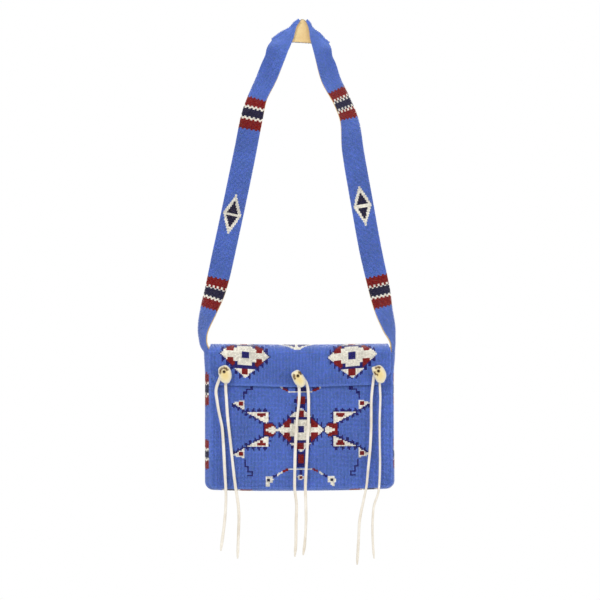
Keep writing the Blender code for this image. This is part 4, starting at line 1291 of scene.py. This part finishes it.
def closed_sheet(name, node, finish, points):
    """A closed solid of hide under a surface, points at a lift off it, with its edges rounded outwards."""
    mesh = bmesh.new()
    under, over = points(-HIDE), points(0.0)
    rows, cols = over.shape[:2]
    low = [[mesh.verts.new(p) for p in row] for row in under]
    top = [[mesh.verts.new(p) for p in row] for row in over]
    for i in range(rows - 1):
        for j in range(cols - 1):
            mesh.faces.new((top[i][j], top[i + 1][j], top[i + 1][j + 1], top[i][j + 1]))
            mesh.faces.new((low[i][j], low[i][j + 1], low[i + 1][j + 1], low[i + 1][j]))
    rim = [(i, 0) for i in range(rows)] + [(rows - 1, j) for j in range(1, cols)]
    rim += [(i, cols - 1) for i in range(rows - 2, -1, -1)] + [(0, j) for j in range(cols - 2, 0, -1)]
    edge = []
    for i, j in rim:
        out = over[i, j] - over[min(max(i, 1), rows - 2), min(max(j, 1), cols - 2)]
        middle = (over[i, j] + under[i, j]) / 2
        edge.append(mesh.verts.new(middle + out / np.linalg.norm(out) * HIDE * HIDE_ROUNDING))
    for k, (i, j) in enumerate(rim):
        after = (k + 1) % len(rim)
        m, n = rim[after]
        mesh.faces.new((top[i][j], edge[k], edge[after], top[m][n]))
        mesh.faces.new((low[i][j], low[m][n], edge[after], edge[k]))
    item = from_bmesh(name, mesh, finish)
    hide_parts(node)


def between(low, high, count):
    return np.linspace(low, high, count + 1)


def round_corner():
    """Heights above a panel's bottom, down round its corner."""
    return CORNER_RADIUS * (1 - np.sin(between(0, CORNER_TURN, CORNER_STEPS)))


def front_hide_piece(finish):
    """The front panel's hide, in rows from its mouth down."""
    zs = np.concatenate((between(PANEL_TOP, PANEL_BOTTOM + CORNER_RADIUS, FRONT_STEPS)[:-1],
                         PANEL_BOTTOM + round_corner()))
    u, z = np.meshgrid(between(-1, 1, HIDE_ACROSS), zs)
    x = POUCH_OFFSET + u * corner_half(PANEL_WIDTH / 2, z - PANEL_BOTTOM)
    closed_sheet("front_leather", "front_hide", finish, lambda lift: front_point(x, z, lift))


def back_flap_hide_piece(finish):
    """The one hide of flap, top and back, in rows from the flap's edge on."""
    corner = FLAP_LIFT + FLAP_CORNER
    along = np.concatenate((
        between(FLAP_LIFT + EDGE_ROLL, corner, CORNER_STEPS)[:-1],
        between(corner, FOLD_LENGTH - CORNER_RADIUS, BACK_STEPS)[:-1],
        FOLD_LENGTH - round_corner()))
    u, at = np.meshgrid(between(-1, 1, HIDE_ACROSS), along)
    top = FOLD_LENGTH - BACK_LENGTH
    on_flap = ease((top - at) / (top - MOUTH_Z + FLAP_BOTTOM))
    cut = 1 - (flap_cut(at) + EDGE_ROLL * on_flap) / (FLAP_WIDTH / 2)
    cut *= corner_half(PANEL_WIDTH / 2, FOLD_LENGTH - at) / (PANEL_WIDTH / 2)
    closed_sheet("back_flap_leather", "back_flap_hide", finish,
                 lambda lift: fold_point(u * cut, at, lift))


def ribbon_hide(name, node, finish, ribbon, point, steps, reach=1.0):
    """The hide under a ribbon of beads, that reaches a share of the way to its edges."""
    rows = between(0, ribbon.length, steps)
    at, v = np.meshgrid(rows, between(-reach, reach, RIBBON_ACROSS), indexing="ij")
    closed_sheet(name, node, finish, lambda lift: point(at, v, lift))


# Teeth, sinew and thongs


def drilled(item):
    """The mesh of an object with a hole through its middle, from front to back."""
    mesh = bmesh.new()
    bmesh.ops.create_cone(mesh, cap_ends=True, segments=SINEW_SIDES, radius1=TOOTH_HOLE / 2,
                          radius2=TOOTH_HOLE / 2, depth=3 * TOOTH_DEPTH,
                          matrix=Matrix.Rotation(math.pi / 2, 4, "X"))
    cutter = bpy.data.objects.new("drill", mesh_data("drill", mesh))
    bpy.context.collection.objects.link(cutter)
    cut = item.modifiers.new("drill", "BOOLEAN")
    cut.object = cutter
    cut.operation = "DIFFERENCE"
    bpy.context.view_layer.update()
    made = bpy.data.meshes.new_from_object(item.evaluated_get(bpy.context.evaluated_depsgraph_get()))
    item.modifiers.clear()
    bpy.data.objects.remove(cutter, do_unlink=True)
    return made


def tooth(name, x, z, outline, finish):
    """An elk tooth round its drilled hole at x and z: a pillow on its outline."""
    rim = [Vector((a * MM, 0.0, b * MM)) for a, b in closed_curve(outline, TOOTH_SIDES)]
    centre = sum(rim, Vector()) / TOOTH_SIDES
    mesh = bmesh.new()
    rings = []
    for i in range(1, 2 * TOOTH_STEPS):
        angle = math.pi * i / (2 * TOOTH_STEPS)
        swell = TOOTH_DEPTH / 2 * math.cos(angle)
        ring = []
        for spot in rim:
            spot = centre.lerp(spot, math.sin(angle) ** TOOTH_SQUARENESS)
            change = Vector((x * DENT_CHANGE, swell * DENT_DEPTH_SCALE, 0))
            dent = TOOTH_DENTS * noise.noise(spot * DENT_SCALE + change)
            ring.append(mesh.verts.new((spot.x * (1 + dent), -swell * (1 - abs(dent)), spot.z)))
        rings.append(ring)
    join_rings(mesh, rings)
    for ring, y in ((rings[0], -TOOTH_DEPTH / 2), (rings[-1], TOOTH_DEPTH / 2)):
        tip = mesh.verts.new((centre.x, y, centre.z))
        for k in range(TOOTH_SIDES):
            mesh.faces.new((ring[k], ring[(k + 1) % TOOTH_SIDES], tip))
    item = from_bmesh(name, mesh, finish)
    item.data = drilled(item)
    item.data.set_sharp_from_angle(angle=math.radians(50))
    item.location = (x, -(flap_front(x, z) + CLEAR + THONG + CLEAR + TOOTH_DEPTH / 2), z)
    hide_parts(name.replace("ivory", "tooth"))


def lace(name, edge, route, finish, seed):
    """A flat hide thong that turns slowly as it hangs."""
    y = -(flap_front(*placed(edge, route[0])) + CLEAR + THONG / 2)
    path = [Vector((x, y, z)) for x, z in (placed(edge, spot) for spot in smooth_route(route))]
    walked = [0.0]
    for a, b in zip(path, path[1:]):
        walked.append(walked[-1] + (b - a).length)
    length = walked[-1]
    angles = [2 * math.pi * (k + 0.5) / LACE_SIDES for k in range(LACE_SIDES)]
    section = [(math.cos(t) * abs(math.cos(t)) ** LACE_SQUARENESS if abs(math.cos(t)) > 1e-6 else 0.0,
                math.sin(t)) for t in angles]
    rows = []
    for k, point in enumerate(path):
        run = (path[min(k + 1, len(path) - 1)] - path[max(k - 1, 0)]).normalized()
        turning = math.sin(walked[k] * TWIST_RATE + seed * 1.7)
        twist = LACE_TWIST * turning * min(walked[k] / TWIST_START, 1.0)
        flat = Vector((0, -1, 0)).cross(run).normalized()
        front = run.cross(flat)
        wide = flat * math.cos(twist) + front * math.sin(twist)
        deep = front * math.cos(twist) - flat * math.sin(twist)
        ragged = 1 + LACE_RAGGED * noise.noise(Vector((walked[k] * RAGS_SCALE, seed * 3.1, 0)))
        taper = min(1.0, LACE_TIP_WIDTH + (length - walked[k]) / LACE_TIP) * NARROW_LACES.get(name, 1.0)
        rows.append([point + wide * (cx * LACE_WIDE * ragged * taper) + deep * (cy * LACE_THICK)
                     for cx, cy in section])
    item = tube(name.replace("thong", "lace"), rows, finish, sharp=60)
    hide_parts(name)


def sinew(name, x, z, finish):
    """The twist of sinew that fills a tooth's hole, from just inside its front back to the flap."""
    back = flap_front(x, z) + CLEAR
    front = back + THONG + CLEAR + TOOTH_DEPTH * SINEW_REACH
    rows = []
    for i in range(SINEW_STEPS + 1):
        y = -back - (front - back) * i / SINEW_STEPS
        row = []
        for angle in (2 * math.pi * k / SINEW_SIDES for k in range(SINEW_SIDES)):
            strand = 1 - SINEW_GROOVES * abs(math.sin(1.5 * angle + 3.0 * i / SINEW_STEPS))
            radius = (TOOTH_HOLE / 2 - SINEW_PLAY) * strand
            row.append((radius * math.cos(angle), y, radius * math.sin(angle)))
        rows.append(row)
    item = tube(name, rows, finish, sharp=50)
    item.location = (x, 0.0, z)
    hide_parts(name.replace("twist", "sinew"))


# Floor, light and world


def make_stage():
    """A round white floor."""
    nodes = Finish("floor_white")
    tone = nodes.ramp(nodes.noise(scale=3.0), (0.0, linear((244, 244, 244))), (1.0, linear((250, 250, 250))))
    mesh = bmesh.new()
    bmesh.ops.create_circle(mesh, cap_ends=True, segments=96, radius=FLOOR_RADIUS)
    floor = bpy.data.objects.new("floor", mesh_data("floor", mesh))
    floor.data.materials.append(nodes.finish(tone, roughness=0.8, specular=0.2))
    floor.location = (0, 0, FLOOR_Z)
    bpy.context.collection.objects.link(floor)


def make_light():
    """A white world, dimmer as light than the camera sees it, and the lamps."""
    world = bpy.context.scene.world or bpy.data.worlds.new("studio")
    bpy.context.scene.world = world
    nodes = Nodes(world)
    nodes.tree.nodes.clear()
    soft, seen = (nodes.add("ShaderNodeBackground", {"Color": ALL, "Strength": strength}).outputs[0]
                  for strength in (WORLD_STRENGTH, 1.0))
    rays = nodes.add("ShaderNodeLightPath", {}).outputs
    chosen = rays["Is Camera Ray"]
    for name in ("Is Glossy Ray", "Is Transmission Ray"):
        chosen = nodes.sum("MAXIMUM", chosen, rays[name])
    mixed = nodes.add("ShaderNodeMixShader", {"Fac": chosen, 1: soft, 2: seen})
    nodes.add("ShaderNodeOutputWorld", {"Surface": mixed.outputs[0]})
    for name, (place, size, power) in LAMPS.items():
        data = bpy.data.lights.new(name, "AREA")
        data.shape = "DISK"
        data.size = size
        data.energy = power
        lamp = bpy.data.objects.new(name, data)
        lamp.location = place
        lamp.rotation_euler = (LAMP_AIM - Vector(place)).to_track_quat("-Z", "Y").to_euler()
        bpy.context.collection.objects.link(lamp)
    bpy.context.scene.view_settings.view_transform = "Standard"


# The making

make_camera()
lace_hide = hide_finish("lace_hide", (250, 244, 232), (232, 221, 202))
for number, (cord_name, (cord_edge, cord_route)) in enumerate(THONG_ROUTES.items()):
    lace(cord_name, cord_edge, cord_route, lace_hide, number)

make_stage()
make_light()

cream_hide = hide_finish("cream_hide", (232, 218, 190), (200, 176, 140))
tan_hide = hide_finish("tan_hide", (250, 222, 164), (226, 188, 126))
front_hide_piece(cream_hide)
back_flap_hide_piece(cream_hide)
ribbon_hide("gusset_leather", "gusset_hide", cream_hide, GUSSET, gusset_point, steps=320)
ribbon_hide("strap_leather", "strap_hide", tan_hide, STRAP, strap_point, steps=460,
            reach=0.94)

bead_finishes = [bead_finish(name, colour) for name, colour in BEAD_COLOURS.items()]
front_beads(bead_finishes)
back_beads(bead_finishes)
flap_beads(bead_finishes)
edge_rolls(bead_finishes)
flap_edging(bead_finishes)

strap_bars = [(row_at(STRAP, side, photo_z(row)), 1.0, 0) for side, row in STRAP_BARS]
strap_diamonds = [row_at(STRAP, side, photo_z(row)) for side, row in STRAP_DIAMONDS]
gusset_bars = [(row_at(GUSSET, side, z), scale, 0) for side in (-1, 1) for z, scale in GUSSET_BARS]
gusset_bars += [(row_under(GUSSET, POUCH_OFFSET + BOTTOM_BAR_OUT * side), BOTTOM_BAR_SCALE, -side)
                for side in (-1, 1)]
ribbon_beads("strap_beads", "strap_beadwork", STRAP, strap_point, STRAP_WIDTH,
             strap_bars, strap_diamonds, bead_finishes, seed=4, folds=5)
ribbon_beads("gusset_beads", "gusset_beadwork", GUSSET, gusset_point, 2 * GUSSET_SPAN - BOTTOM_SPARE,
             gusset_bars, [], bead_finishes, seed=5, folds=4)

dark_sinew = sinew_finish()
for tooth_name, (tooth_edge, hole, outline, stains) in TEETH.items():
    tooth("ivory_" + tooth_name, *placed(tooth_edge, hole), outline, tooth_finish(tooth_name, stains))
    sinew("twist_" + tooth_name, *placed(tooth_edge, hole), dark_sinew)
